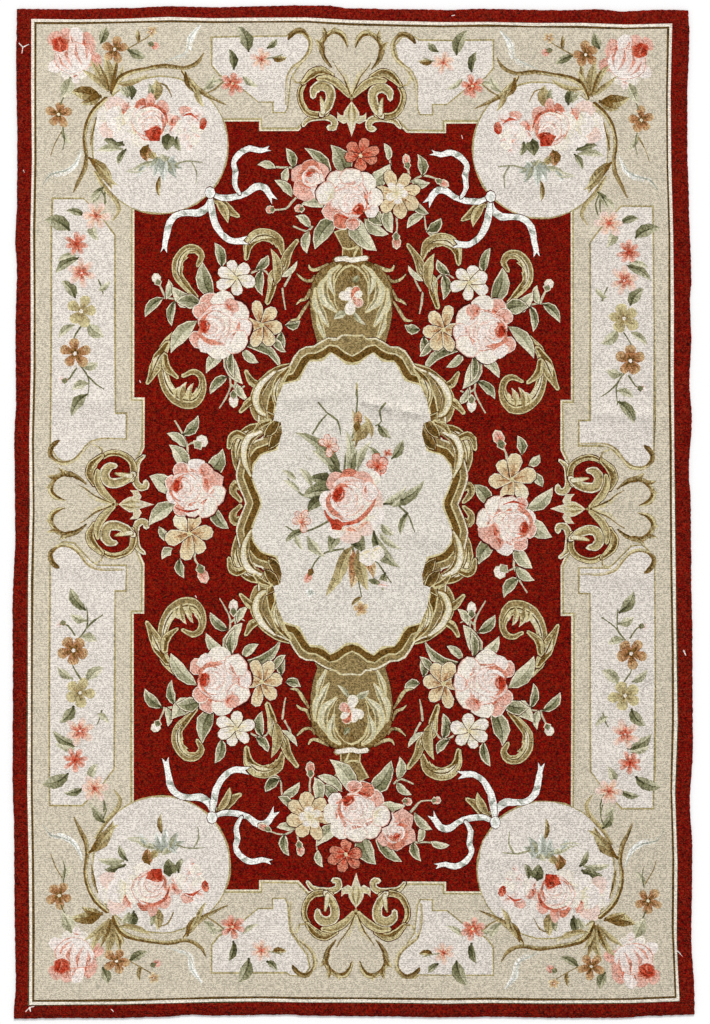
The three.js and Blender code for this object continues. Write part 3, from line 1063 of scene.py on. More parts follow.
def quarter_scrolls():
    left = pages(176+333j, 167+344j, 162+357j, 163+371j, 166+384j, 173+395j, 184+401j, 194+401j, 201+393j,
                 203+383j, 200+375j, 193+372j, 184+376j)
    acanthus(left, (3, 7, 8, 8, 9, 11, 13, 12, 8, 5, 4.5, 3.5, 1.4), (0.5, 0.64), 1, length=0.6)
    for base, tip, width in (
        (176+399j, 180+387j, 5), (182+402j, 187+382j, 7), (190+402j, 194+383j, 6), (197+398j, 198+388j, 4),
    ):
        leaf(page(base), page(tip), width, "flame", -0.14, None)
    acanthus(pages(168+344j, 160+358j, 155+369j, 148+383j), (4, 11, 9, 1.6), side=-1)
    acanthus(pages(165+356j, 167+368j, 177+377j), (4, 6, 1.4), pale=False)
    hook = pages(196+297j, 186+286j, 178+275j, 178.5+261j, 187+250j, 197+250j, 202+257j, 198+265j)
    acanthus(hook, (3, 6, 8, 8.5, 7, 6, 4.5, 1.6), (0.3, 0.44, 0.58), -1, length=0.9)
    right = pages(247+258j, 248.5+245j, 257+236j, 269+235j, 279+241j, 283+253j)
    acanthus(right, (2.4, 8, 11, 10, 8, 2), (0.3, 0.44, 0.58, 0.72), -1, length=0.75)
    stem = pages(268+302j, 272+289j, 274+276j, 284+266j, 288+254j, 297+241j)
    acanthus(stem, (3, 6, 9, 8, 6, 2), (), -1)
    leaf(page(276, 284), page(272, 250), 9, "fawn", 0.12, "straw")
    leaf(page(283, 276), page(297, 262), 4, "sage", 0.1)


def quarter_twigs():
    for path in (
        pages(178+300j, 166+298j, 158+300j), pages(165+297j, 161+288j, 157+280j),
        pages(229+370j, 231+386j, 226+398j, 220+408j), pages(231+384j, 238+389j, 245+386j),
        pages(285+286j, 290+277j, 294+266j), pages(283+288j, 284+299j, 286+309j),
        pages(252+273j, 260+269j, 267+272j, 272+281j), pages(236+380j, 235+394j),
    ):
        twig(path, (2, 1.8, 1.2), "sage_pale")
    leaves((
        (167+298j, 169+281j, 6, "sage"), (162+299j, 146+316j, 9, "moss"), (175+302j, 172+325j, 7, "moss"),
        (257+269j, 268+256j, 8, "moss"), (262+271j, 262+294j, 9, "moss"), (227+377j, 211+393j, 9, "moss"),
        (287+325j, 300+321j, 8, "moss"), (282+333j, 284+350j, 8, "moss"), (238+385j, 247+399j, 6, "sage"),
    ))
    bud(page(159, 284), page(155, 275), 8, "white")
    bud(page(234, 393), page(234, 406), 8, "white")


def quarter_spray():
    for base, tip, width, dye, curve in (
        (213+298j, 203+264j, 15, "moss", -0.1), (196+306j, 173+288j, 14, "sage", -0.1),
        (200+305j, 178+302j, 13, "moss", 0.1), (196+322j, 172+352j, 13, "sage", 0.1),
        (222+266j, 216+244j, 9, "moss", 0.1), (226+350j, 207+372j, 10, "sage", 0.1),
        (228+350j, 242+383j, 13, "sage", 0.1), (232+352j, 234+376j, 7, "moss", 0.1),
        (243+345j, 281+367j, 8.5, "moss", -0.2), (275+338j, 285+351j, 6, "moss", 0.1),
        (244+350j, 258+362j, 8, "sage", 0.1),
    ):
        leaf(page(base), page(tip), width, dye, curve)
    tips = pages(256+301j, 275+308j, 282+328j, 272+345j, 254+346j, 246+325j)
    flower(page(262, 325), tips, 12, "tan", "bone", "straw")
    tips = pages(231+261j, 248+265j, 255+283j, 238+295j, 218+287j, 219+270j)
    flower(page(236, 278), tips, 11, "cream", "bone", "straw")
    middle = page(219, 325)
    outer = (
        (209+302j, 8.5, "coral"), (201+311j, 7, "coral"), (198+340j, 7, "coral"), (223+301j, 9.5, "shell"),
        (240+311j, 10, "shell"), (245+328j, 8, "pink"), (238+342j, 10, "shell"), (219+349j, 10, "shell"),
        (206+345j, 7, "pink"), (233+304j, 6, "coral"),
    )
    rose(middle - 2, 21, page(205, 326), outer, 0.3)


for place, shift in QUARTERS.items():
    cartoon.stand(*place, origin=shift)
    quarter_scrolls()
    quarter_twigs()
    quarter_spray()
tell("the quarters' sprays")


# %% The ribbons that tie the sprays to the circles
def quarter_ribbons():
    knot = page(210.5, 193)
    acanthus(pages(212+199j, 222+203j, 230+211j, 238+216j), (2, 7, 7, 1.6), (), 1, pale=False)
    leaf(page(217, 201), page(228, 222), 7, "fawn", -0.1, "straw")
    ribbon((knot, *pages(222+198j, 236+197j, 246+194j, 256+187j, 265+188j, 271+196j)), (3, 6, 6, 5, 7, 7, 6),
           (0.2, 0.5, 0.8))
    ribbon(pages(240+194j, 235+184j, 236+172j, 234+163j, 240+154j, 250+149j, 260+151j, 266+150j),
           (3, 5, 6, 5, 6, 6, 5, 4), (0.3, 0.6))
    ribbon((knot, *pages(209+205j, 200+213j, 189+213j, 178+215j, 170+223j, 167+236j, 165+247j)),
           (3, 6, 8, 6, 6, 7, 6, 5), (0.25, 0.5, 0.75))
    ribbon((knot, *pages(212+208j, 215+222j, 222+234j, 232+241j, 241+241j)), (3, 7, 7, 6, 6, 6), (0.3, 0.65))
    lay(grow(blob(knot, 5, 6, count=8), OUTLINE), "shadow", steady=True)
    lay(blob(knot, 5, 6, count=8), "snow")
    lay(blob(knot + 1 - 1j, 3.2, 4, count=8), "silver", "snow", (knot, knot + 4))


for place in CORNERS:
    stand_at_circle(place)
    quarter_ribbons()
tell("the ribbons")


# %% The sprays at the two sides
def side_spray():
    twig(pages(187+460j, 188+448j, 183+434j, 175+421j), (2.6, 2, 1.4), "sage_pale")
    twig(pages(187+446j, 193+443j, 199+442j), (1.8, 1.4), "sage_pale")
    leaves((
        (184+435j, 198+417j, 9, "moss"), (185+446j, 169+434j, 9, "sage"), (186+469j, 171+446j, 13, "sage"),
        (206+475j, 223+450j, 14, "moss"), (172+495j, 151+477j, 15, "sage"), (175+505j, 150+525j, 13, "sage"),
        (213+507j, 228+528j, 12, "moss"), (172+549j, 163+558j, 8, "sage"), (180+560j, 184+577j, 8, "moss"),
        (160+528j, 172+540j, 8, "sage"),
    ))
    twig(pages(195+553j, 196+561j, 201+568j), (2.2, 1.8), "sage_pale")
    bud(page(200, 567), page(206, 582), 10, "coral", "bone", "moss")
    bud(page(197, 446), page(206, 438), 12, "white", "bone", "sage")
    tips = pages(176+516j, 197+514j, 213+532j, 203+552j, 186+560j, 166+540j)
    flower(page(190, 534), tips, 13, "tan", "bone", "straw", odd="beige")
    middle = page(190, 490)
    outer = (
        (214+481j, 10, "coral"), (219+495j, 8, "shell"), (208+508j, 9, "shell"), (194+510j, 8, "shell"),
        (181+510j, 6, "coral"), (182+470j, 7, "coral"), (197+467j, 8, "pink"), (207+470j, 6, "coral"),
        (172+483j, 6, "coral"), (174+496j, 7, "pink"),
    )
    rose(middle, 19, page(178, 486), outer, 0.3)
    lay(stroke(pages(176+508j, 188+512j, 199+509j), (0.8, 2.6, 0.8), steps=2), "deep_coral", "heart",
        pages(176+508j, 199+509j))


cartoon.stand(-1, 1)
side_spray()
cartoon.stand(1, -1, origin=-3.5)
side_spray()
tell("the side sprays")


# %% The sprays at the two ends
def end_spray():
    for path in (
        pages(300+172j, 295+168j, 281+168j, 268+166j), pages(303+191j, 292+202.5j, 285.8+208.9j, 274+209.7j),
        pages(313+226.4j, 306.5+231j, 293.8+226j), pages(410+178j, 409+170j, 407+163j),
        pages(405+181j, 413+180j, 423+174j, 438+178j),
        pages(415+203j, 424.5+212j, 426+226.4j, 431+234j, 437+230j), pages(397+214j, 397.4+224j, 396.6+234j),
        pages(387+172j, 391+164j, 388+152j),
    ):
        twig(path, (2, 1.8, 1.4), "sage_pale")
    leaves((
        (346+178j, 332+146j, 17, "moss"), (330+176j, 306+149j, 10, "moss"), (328+206j, 303+204j, 10, "sage"),
        (340+216j, 316+248j, 15, "moss"), (353+214j, 376+249j, 16, "sage"), (366+219j, 388+233j, 10, "sage"),
        (368+183j, 390+164j, 13, "sage"), (371+208j, 385+223j, 12, "moss"), (389+209j, 392+231j, 11, "sage"),
        (275+168j, 259+165j, 6, "sage"), (293.8+167.4j, 287+150j, 8, "moss"),
        (288+169j, 286+184j, 6, "sage"), (292+196j, 276+181j, 7, "sage"),
        (309.7+226.4j, 297+216j, 7, "sage"), (309+232j, 307+252j, 8, "sage"),
        (389+158j, 385+143j, 6, "sage"), (423+173.8j, 419+154j, 8, "moss"), (413+180j, 429+182j, 7, "sage"),
        (428+230j, 441+218j, 10, "dark"), (424+213j, 408+226j, 8, "sage"), (320+198j, 302+187j, 9, "sage"),
        (414+200j, 428+212j, 7, "moss"),
    ))
    bud(page(274, 209.7), page(267, 209.5), 7, "coral")
    bud(page(303, 209), page(296, 208), 7, "coral")
    bud(page(408, 166), page(406, 154), 7, "coral")
    bud(page(438, 179), page(448, 184), 6, "coral")
    bud(page(396.6, 234), page(397, 247), 8, "coral")
    tips = pages(366+138j, 349+143j, 346+157j, 361+170j, 377+160j, 379+148j)
    flower(page(361, 155), tips, 10, "orange", "coral", "sand")
    tips = pages(388+170j, 408+173j, 420+187j, 418+206j, 402+217j, 383+210j, 375+190j)
    flower(page(397, 194), tips, 12, "tan", "sand", "khaki")
    tips = pages(390+182j, 402+183j, 408+193j, 399+203j, 387+198j)
    flower(page(397, 192), tips, 8, "cream", None, "straw")
    middle = page(312, 180)
    outer = (
        (300+174j, 8, "coral"), (304+191j, 9, "coral"), (320+190j, 7, "pink"), (322+173j, 8, "coral"),
        (311+168j, 8, "orange"),
    )
    rose(middle, 13, page(310, 174), outer, 0.24, rim="pink")
    middle = page(349, 197)
    outer = (
        (336+180j, 9, "shell"), (352+176j, 9, "shell"), (366+181j, 9, "shell"), (325+193j, 9, "cream"),
        (375+196j, 8, "shell"), (332+211j, 8, "coral"), (342+220j, 8, "orange"), (372+210j, 6, "pink"),
        (353+223j, 6, "coral"),
    )
    rose(middle, 19, page(359, 209), outer, 0.3)


print("an end spray spans", round(abs(page(259, 165) - page(448, 184)) * SQUARE), "mm")


# %% The urns below the end sprays
URN_AXIS = 1.2


def urn_body():
    neck = np.array(pages(343+262j, 344+247j, 336+232j, 352+226j, 368+232j, 361.6+247j, 362+262j))
    lay(grow(neck, 1.8), "shadow", steady=True)
    lay(grow(neck, 1.1), "straw")
    lay(neck, "khaki", "umber", pages(352+236j, 352+262j))
    lay(stroke(pages(343+247j, 352+248.4j, 362+243j), (1.9, 1.7)), "straw")
    lay(stroke(pages(358+247j, 354+256j), (2.6, 1.2)), "straw")
    right = list(pages(334+262j, 318+273.5j, 311.6+289j, 311.2+305j, 314+325j, 318.5+341j, 322+347j))
    left = [2 * URN_AXIS - point.conjugate() for point in right]
    shell = flow(np.array(right + left[::-1]), 2, closed=True)
    lay(grow(shell, 1.6), "shadow", steady=True)
    lay(grow(shell, 0.8), "khaki", "umber", pages(352+340j, 352+262j))
    lay(shell, "khaki", "umber", pages(352+340j, 352+210j))
    lay(blob(page(351.8, 292), 18.5, 28, count=16, rough=0.02), "straw")
    lay(blob(page(351.8, 293), 17, 27, count=16, rough=0.02), "khaki", "umber", pages(352+320j, 352+210j))
    lay(pages(319+346j, 327+306j, 352+312j, 377+306j, 385+346j), "khaki", "umber", pages(352+320j, 352+210j))


def urn_leaves():
    for path, widths in (
        (pages(329+275j, 323+287j, 325+299j, 330+305j, 336.5+311j), (2, 9, 9, 6, 0.8)),
        (pages(340+265.6j, 332+273j, 331+283j, 334.6+294j), (2, 6.5, 6, 0.8)),
        (pages(316+289j, 317+303j, 322+314j, 328.5+325j), (2, 8, 7.5, 0.8)),
        (pages(318+314j, 320.6+326j, 326.4+339j), (1.6, 5.4, 0.8)),
    ):
        lay(stroke(path, widths, rim=0.9), "straw")
        lay(stroke(path, widths), "bone", "straw", (path[-1], path[0]))
        lay(stroke(path, widths, aside=-0.3, share=0.3), "khaki", "sage", (path[0], path[-1]))
        lay(stroke(path, widths, aside=0.3, share=0.2), "sage_pale")
    for path, widths in (
        (pages(328.4+263.4j, 317.7+269j, 311.4+268.8j, 309+264.5j), (2, 3.4, 2.6, 1.2)),
        (pages(315+275j, 311.4+280.4j, 304.3+279.5j, 297.5+273.5j), (2, 3, 2.6, 1.2)),
        (pages(310.5+289.3j, 307+298.2j, 301.6+300j, 297+304j), (2, 3.4, 2.8, 1.2)),
        (pages(309.6+300.9j, 303.4+310.7j, 298+318.8j, 291+320j), (2, 3.6, 3, 1.2)),
    ):
        lay(stroke(path, widths, steps=2, rim=0.6), "shadow", steady=True)
        lay(stroke(path, widths, steps=2), "khaki", "straw", (path[0], path[-1]))


# The band's outer part rises over the urn's foot
def urn_collar():
    top = pages(332+338.8j, 338+338.6j, 342+334.6j, 352+335j, 363+334.7j, 367+338.6j, 373+338.8j)
    lay((*top, page(366, 350), page(352, 357), page(339, 350)), "khaki", "fawn", pages(352+344j, 352+300j))
    lay(stroke(top, (1.7, 1.7), steps=2), "bone", "straw", (top[0], top[-1]))


def urn_flower():
    leaf(page(353, 281), page(359, 274), 6, "moss", 0.1, None)
    leaf(page(348, 312), page(334, 319), 7, "sage", 0.1, None)
    leaf(page(354.5, 311), page(366, 324), 5, "sage", 0.1, None)
    centre = page(353, 299)
    for tip, width, dye in (
        (page(340, 293), 9, "white"), (page(348, 287), 8, "white"), (page(349, 314), 10, "white"),
        (page(358, 286), 9, "orange"), (page(362, 291), 6, "white"), (page(363, 304), 9, "coral"),
        (page(357, 298), 6, "coral"),
    ):
        outline = petal_outline(centre, tip, width)
        lay(grow(outline, 0.5), "bone")
        lay(outline, DYES[dye][0], DYES[dye][1], (tip, centre))


def urn_rim():
    bar = pages(336+259.2j, 345+258j, 352+259.4j, 366.6+257.2j)
    lay(stroke(bar, (4.4, 5.0, 4.4), rim=0.8), "bark", "khaki", (bar[0], bar[-1]))
    lay(stroke(bar, (4.4, 5.0, 4.4)), "white")


def urn():
    urn_body()
    for side in (1, -1):
        cartoon.side *= side
        cartoon.origin += (0 if side == 1 else -2 * URN_AXIS * cartoon.side)
        urn_leaves()
    cartoon.origin += 2 * URN_AXIS * cartoon.side
    cartoon.side *= -1
    urn_rim()
    urn_flower()


print("an urn is", round(abs(page(352, 262) - page(352, 347)) * SQUARE), "mm high")

# %% [markdown]
# ## The medallion
# The cream medallion has a lobed outline with a frame of several bands. Every band is the same outline
# grown a step further, so one quarter of the outline gives them all.

# %% The medallion's outline and its side scrolls
MEDALLION_MIDDLE = -0.5+3j
SCROLLS_RISE = 3j
MEDALLION_QUARTER = (
    5.5+139j, 20.5+150.5j, 30+142.3j, 42.8+141.5j, 47.5+133j, 52.5+123j, 68.5+118.4j,
    74.7+104j, 78.5+83.3j, 71.5+81j, 70+70.5j, 74.7+53j, 90.5+48.2j, 97.8+38.6j, 100.2+27.5j,
    95.5+14.7j, 90.5+3.6j,
)
medallion = four_quarters(MEDALLION_QUARTER)


# These lie under the frame's bands
def medallion_outer_scrolls():
    acanthus(pages(268+428j, 254+430j, 244+438j, 238.5+452j, 241+468j, 250+486j), (7, 11, 12, 11, 8, 3), (),
             -1)
    acanthus(pages(246+437j, 238+434j, 232+438j, 230+447j), (4, 6, 5, 2), (), -1, pale=False)
    acanthus(pages(252+484j, 244+487j, 236+484j, 234+492j, 241+500j), (3, 6, 6, 5, 2), (), 1, pale=False)
    acanthus(pages(296+366j, 279+373j, 264+386j, 257+401j, 260+416j, 272+424j), (7, 12, 13, 12, 9, 4), (), -1)
    acanthus(pages(262+386j, 253+382j, 247+372j), (5, 6, 1.6), (), -1, pale=False)
    acanthus(pages(258+398j, 250+402j, 242+411j), (5, 6, 1.6), (), 1, pale=False)


# These lie over them, at the corners where the bands are broken
def medallion_inner_scrolls():
    for path, widths in (
        (pages(276+372j, 264+384j, 258+398j, 262+411j, 272+416j), (3, 9, 10, 8, 2)),
        (pages(262+432j, 251+438j, 246+450j, 247+463j, 252+476j), (3, 9, 9, 7, 2)),
    ):
        lay(stroke(path, widths, rim=1.2), "khaki", "umber", (path[0], path[-1]))
        lay(stroke(path, widths), "straw", "bone", (path[-1], path[0]))
        lay(stroke(path, widths, aside=-0.3, share=0.3), "umber", "khaki", (path[0], path[-1]))
        lay(stroke(path, widths, aside=0.2, share=0.28), "white", "bone", (path[0], path[-1]))
    acanthus(pages(290+368j, 281+380j, 277+394j, 280+408j, 275+420j), (2, 8, 8, 6, 2), (), -1, ground=False)
    for base, tip, width in (
        (284+444j, 268+412j, 15), (270+448j, 284+424j, 10), (266+436j, 280+416j, 9),
    ):
        leaf(page(base), page(tip), width, "brown", 0.05, "straw")
    acanthus(pages(270+421j, 262+424j, 256+431j), (3, 5, 2), (), 1, ground=False, pale=False)


print("the medallion is", round(np.ptp(medallion.real) * SQUARE), "mm wide")

# %% [markdown]
# The order in which the pieces are laid matters here. The outer scrolls and the urns go under the bands,
# the urns' collars between the second and the third band, and the inner scrolls over them all. The cream
# ground and the sprays at the two ends come last, because the sprays hang over the frame.

# %% The urns and the frame's bands
BANDS = ((16, "bone", "straw"), (14.4, "khaki", "fawn"), (9.4, "straw", "bone"), (8, "umber", "bark"),
         (1.8, "straw", "reed"))
END_SPRAYS = ((-1, 1, 0), (1, -1, 1.5+3j))
URNS = ((-1, 1, 0), (1, -1, 3.5j - 2 * URN_AXIS))
for place in CORNERS:
    cartoon.stand(*place, origin=MEDALLION_MIDDLE - SCROLLS_RISE * place[1])
    medallion_outer_scrolls()
for side, end, move in URNS:
    cartoon.stand(side, end, origin=move)
    urn()
cartoon.stand(1, 1, origin=MEDALLION_MIDDLE)
lay(swell(medallion, BANDS[0][0] + OUTLINE), "shadow", steady=True)
for by, yarn, second in BANDS[:2]:
    lay(swell(medallion, by), yarn, second, (0j, 600j))
for side, end, move in URNS:
    cartoon.stand(side, end, origin=move)
    urn_collar()
cartoon.stand(1, 1, origin=MEDALLION_MIDDLE)
for by, yarn, second in BANDS[2:]:
    lay(swell(medallion, by), yarn, second, (0j, 600j))
for place in CORNERS:
    cartoon.stand(*place, origin=MEDALLION_MIDDLE - SCROLLS_RISE * place[1])
    medallion_inner_scrolls()
cartoon.stand(1, 1, origin=MEDALLION_MIDDLE)
lay(medallion, "medallion")
for side, end, move in END_SPRAYS:
    cartoon.stand(side, end, origin=move)
    end_spray()
tell("the medallion's frame")


# %% The bouquet in the middle
def bouquet_leaves():
    for path in (
        pages(345+478j, 346+455j, 354+432j, 358+400j, 357+382j),
        pages(319+402j, 327+412j, 338+420j, 341+434j), pages(327+414j, 320+422j, 313+434j),
        pages(386+402j, 380+410j, 382+420j, 376+425j), pages(352+540j, 356+565j, 362+596j),
        pages(398+504j, 407+512j, 412+522j, 415+531j), pages(320+500j, 302+494j, 288+478j),
        pages(330+520j, 312+529j, 298+532j, 286+526j), pages(344+548j, 326+552j, 315+562j, 311+572j),
        pages(366+556j, 378+562j, 386+574j, 392+582j),
    ):
        twig(path, (2.0, 1.8, 1.3), "moss")
    for base, tip, width, dye, curve in (
        (340+475j, 295+432j, 13, "moss", 0.14), (334+470j, 312+450j, 8, "sage", 0.1),
        (348+470j, 346+430j, 11, "sage", 0.12), (352+476j, 358+448j, 10, "moss", -0.1),
        (353+440j, 370+418j, 12, "fawn", 0.1), (356+446j, 352+408j, 8, "fawn", 0.1),
        (358+470j, 372+440j, 9, "sage", -0.1), (372+438j, 364+414j, 6, "fawn", 0.1),
        (380+462j, 369+446j, 7, "moss", 0.1), (392+458j, 403+438j, 9, "moss", 0.1),
        (379+424j, 392+437j, 8, "moss", 0.1), (384+503j, 425+479j, 11, "moss", 0.14),
        (384+502j, 408+484j, 6, "sage", 0.1), (408+512j, 401+534j, 8, "moss", 0.1),
        (392+506j, 400+498j, 5, "sage", 0.1), (382+524j, 394+534j, 9, "sage", 0.1),
        (374+530j, 401+567j, 13, "moss", 0.14), (380+532j, 402+548j, 6, "sage", 0.1),
        (334+484j, 310+478j, 14, "dark", 0.1), (330+490j, 304+496j, 16, "moss", 0.1),
        (326+496j, 308+512j, 11, "dark", 0.1), (340+482j, 328+464j, 11, "dark", 0.1),
        (312+486j, 300+468j, 8, "sage", 0.1), (300+492j, 283+480j, 6, "sage", 0.1),
        (296+480j, 282+470j, 6, "sage", 0.1), (356+528j, 366+552j, 14, "dark", 0.1),
        (340+532j, 331+552j, 12, "moss", 0.1), (304+530j, 286+542j, 8, "moss", 0.1),
        (308+536j, 326+556j, 10, "sage", 0.1), (296+534j, 304+549j, 6, "sage", 0.1),
        (386+572j, 384+590j, 9, "moss", 0.1), (362+596j, 352+606j, 5, "olive", 0.1),
    ):
        leaf(page(base), page(tip), width, dye, curve, None)
    for base, tip, width, dye in (
        (350+548j, 326+596j, 12, "fawn"), (352+546j, 340+584j, 12, "fawn"), (354+550j, 352+588j, 14, "tan"),
        (358+550j, 368+590j, 12, "fawn"), (362+554j, 374+578j, 10, "tan"),
    ):
        leaf(page(base), page(tip), width, dye, hand.uniform(-0.15, 0.15), None)


def middle_bouquet():
    bouquet_leaves()
    bud(page(357, 428), page(359, 411), 9, "russet", None, "olive")
    bud(page(357, 394), page(357, 382), 3, "olive", None, "moss")
    blossom(page(361, 608), 8, 5, 80, "tan", None, "brown", 0.9)
    bud(page(372, 580), page(392, 586), 8, "pink", None, "moss")
    bud(page(312, 570), page(306, 582), 8, "coral", None, "olive")
    blossom(page(311, 592), 5, 4, 20, "grey", None, "silver", 1)
    flower(page(302, 522), pages(293+520j, 297+511j, 307+510j, 311+520j, 305+532j), 6, "peach", None,
           "deep_coral")
    flower(page(329, 446), pages(320+440j, 327+434j, 336+438j, 339+448j, 330+456j), 6, "peach", None,
           "deep_coral")
    flower(page(378, 466), pages(368+462j, 376+453j, 387+458j, 386+470j, 377+477j), 8, "coral", None, "heart")
    blossom(page(388, 452), 5, 4, 30, "coral", None, "deep_coral", 0.9)
    soft_petals((
        (374, 478, 7, 8, 10, "cream"), (376, 500, 8, 12, 0, "peach"), (373, 516, 12, 11, -10, "cream"),
        (366, 528, 8, 8, 20, "peach"), (350, 534, 12, 9, 0, "peach"), (337, 530, 8, 9, 20, "cream"),
        (368, 556, 8, 9, 10, "cream"), (378, 552, 7, 8, 0, "cream"),
    ), page(352, 512))
    middle = page(351, 500)
    outer = (
        (336+481j, 9, "coral"), (350+477j, 9, "orange"), (364+480j, 9, "coral"), (372+490j, 8, "pink"),
        (328+499j, 8, "pink"),
    )
    rose(middle, 23, page(339, 494), outer, 0.34, rim=None)
    sweep = pages(325+510j, 330+519j, 342+523.5j, 358+520j, 370+509j, 376+498j)
    lay(stroke(sweep, (1.6, 4.4, 3.6, 4.4, 4, 1.4), steps=2), "deep_coral", "coral", (sweep[0], sweep[-1]))
    lay(pages(330+520j, 338+518j, 345+523j, 341+530j, 332+529j), "heart", "deep_coral",
        pages(332+526j, 344+520j))


cartoon.stand(-1, 1)
middle_bouquet()
print("patches in all:", len(cartoon.patches), "points:", sum(len(patch[0]) for patch in cartoon.patches))

# %% Loose ends of pale yarn that came through to the face
GREEN_THREAD = (306+455j, 308+459j, 312+458j)
THREADS = (
    (18+44j, 22+48j, 21+54j), (22+48j, 28+45j), (22+171j, 23+174j), (27+1011j, 31+1007j, 35+1006j),
    (31+1007j, 32+1011j), (112+1009j, 114+1011j), (452+13j, 455+13j), (683+648j, 685+653j),
    (675+948j, 679+951j, 682+955j), (462+134j, 463+137j), (183+212j, 184+214j), (140+381j, 141+383j),
    (425+452j, 426+455j), GREEN_THREAD, (530+605j, 531+607j), (196+596j, 197+598j),
)
cartoon.stand(-1, 1)
for thread in THREADS:
    yarn = "sage" if thread is GREEN_THREAD else "petal"
    lay(stroke(pages(*thread), (1.1, 0.7), steps=1), yarn)
print("loose ends:", len(THREADS))

# %% [markdown]
# ## From the cartoon to a mesh
# The patches overlap, as cut paper does. A constrained triangulation lays all outlines into one flat net of
# triangles at once, and says for each triangle which patches cover it: the one that was laid last shows. So
# every colour edge is an edge of the mesh. Operators on primitives couldn't give that: they would have to
# cut a plane along thousands of curved outlines. Points of a plain grid and points along the creases are
# added, so that the cloth can bend there.

# %% The points of the net
LOW_CORNER = -337.07-509.9j
HIGH_CORNER = 338.07+497.9j
MIDDLE_ON_RUG = -0.5+6j
EDGE_STEP = 2.4
EDGE_ROUGH = 0.32
GRID_STEP = 15.0
GRID_START = 7
GRID_END = 5
CREASE_STEP = 20
ACROSS_CREASE = (-1.8, -1.2, -0.8, -0.4, 0, 0.4, 0.8, 1.2, 1.8)


def edge_points():
    corners = (LOW_CORNER, complex(HIGH_CORNER.real, LOW_CORNER.imag), HIGH_CORNER,
               complex(LOW_CORNER.real, HIGH_CORNER.imag))
    points = []
    for start, end in zip(corners, corners[1:] + corners[:1]):
        count = round(abs(end - start) / EDGE_STEP)
        out = -1j * (end - start) / abs(end - start)
        for i in range(count):
            points.append(start + (end - start) * i / count + out * hand.uniform(-1, 1) * EDGE_ROUGH)
    return np.array(points)


def grid_points():
    across = np.arange(LOW_CORNER.real + GRID_START, HIGH_CORNER.real - GRID_END, GRID_STEP)
    up = np.arange(LOW_CORNER.imag + GRID_START, HIGH_CORNER.imag - GRID_END, GRID_STEP)
    return (across[:, None] + 1j * up[None, :]).ravel()


def crease_points():
    points = []
    for from_x, from_y, to_x, to_y, _, reach, bow in CREASES:
        start = complex(from_x, from_y)
        run = complex(to_x, to_y) - start
        out = 1j * run / abs(run)
        for share in np.linspace(0.01, 0.99, max(4, round(abs(run) / CREASE_STEP))):
            middle = start + run * share + out * bow * 4 * share * (1 - share)
            points.extend(middle + out * reach * step for step in ACROSS_CREASE)
    return np.array(points) / SQUARE - MIDDLE_ON_RUG


edge = edge_points()
loose = np.concatenate([grid_points(), crease_points()])
outlines = [edge] + [patch[0] for patch in cartoon.patches]
print("points on the rug's edge:", len(edge), "and loose ones:", len(loose))

# %% [markdown]
# A point is inside an outline if the outline winds round it. So each triangle's middle is tested against
# the outlines, in the order in which they were laid, and the last one that holds it owns the triangle. The
# middles are sorted from left to right, so only those within an outline's width are tested.


# %% Which patch shows on each triangle
def inside(outline, points):
    ahead = np.roll(outline, -1)
    above = outline.imag[None, :] <= points.imag[:, None]
    ahead_above = ahead.imag[None, :] <= points.imag[:, None]
    run = (ahead - outline)[None, :]
    left = np.imag(np.conj(run) * (points[:, None] - outline[None, :])) > 0
    turns = (above & ~ahead_above & left).sum(axis=1) - (~above & ahead_above & ~left).sum(axis=1)
    return turns != 0


def top_patches(net, triangles, chosen):
    middles = net[triangles].mean(axis=1)
    order = np.argsort(middles.real)
    middles = middles[order]
    owner = np.full(len(triangles), -1)
    to_sides = (middles.real - LOW_CORNER.real, HIGH_CORNER.real - middles.real,
                middles.imag - LOW_CORNER.imag, HIGH_CORNER.imag - middles.imag)
    near = np.nonzero(np.min(to_sides, axis=0) < 1)[0]
    owner[near[~inside(edge, middles[near])]] = -2
    for index in chosen[1:]:
        outline = outlines[index]
        first, last = np.searchsorted(middles.real, (outline.real.min(), outline.real.max()))
        near = np.arange(first, last)
        height = middles.imag[near]
        near = near[(height > outline.imag.min()) & (height < outline.imag.max())]
        owner[near[inside(outline, middles[near])]] = index - 1
    owners = np.empty(len(triangles), int)
    owners[order] = owner
    return owners


print("outlines to sort into:", len(outlines))

# %% [markdown]
# The first triangulation knows every outline, also the parts that other patches cover. The second one is
# given only the lines where two different patches meet. Before it, `thin_lines` takes nearly straight points
# out of these lines, never two neighbours at once, which saves many triangles. The back gets a net of its
# own: on a real tapestry weave it shows the same patches, but here only the larger ones, with simpler edges,
# because it lies on the floor.

# %% Two rounds of triangulation: first all outlines, then only those that show
CLOSENESS = 0.04
LONGEST_RUN = 30
FACE_CLOSENESS = 0.12
BACK_CLOSENESS = 0.6
FINE_PATCH = 120.0
MANY_POINTS = 9


def triangulate(points, lines, closed):
    vectors = [Vector((point.real, point.imag)) for point in points]
    made = delaunay_2d_cdt(vectors, lines, closed, 0, CLOSENESS, True)
    net = np.array([complex(point[0], point[1]) for point in made[0]])
    return net, np.array([list(face) for face in made[2]]), made[3]


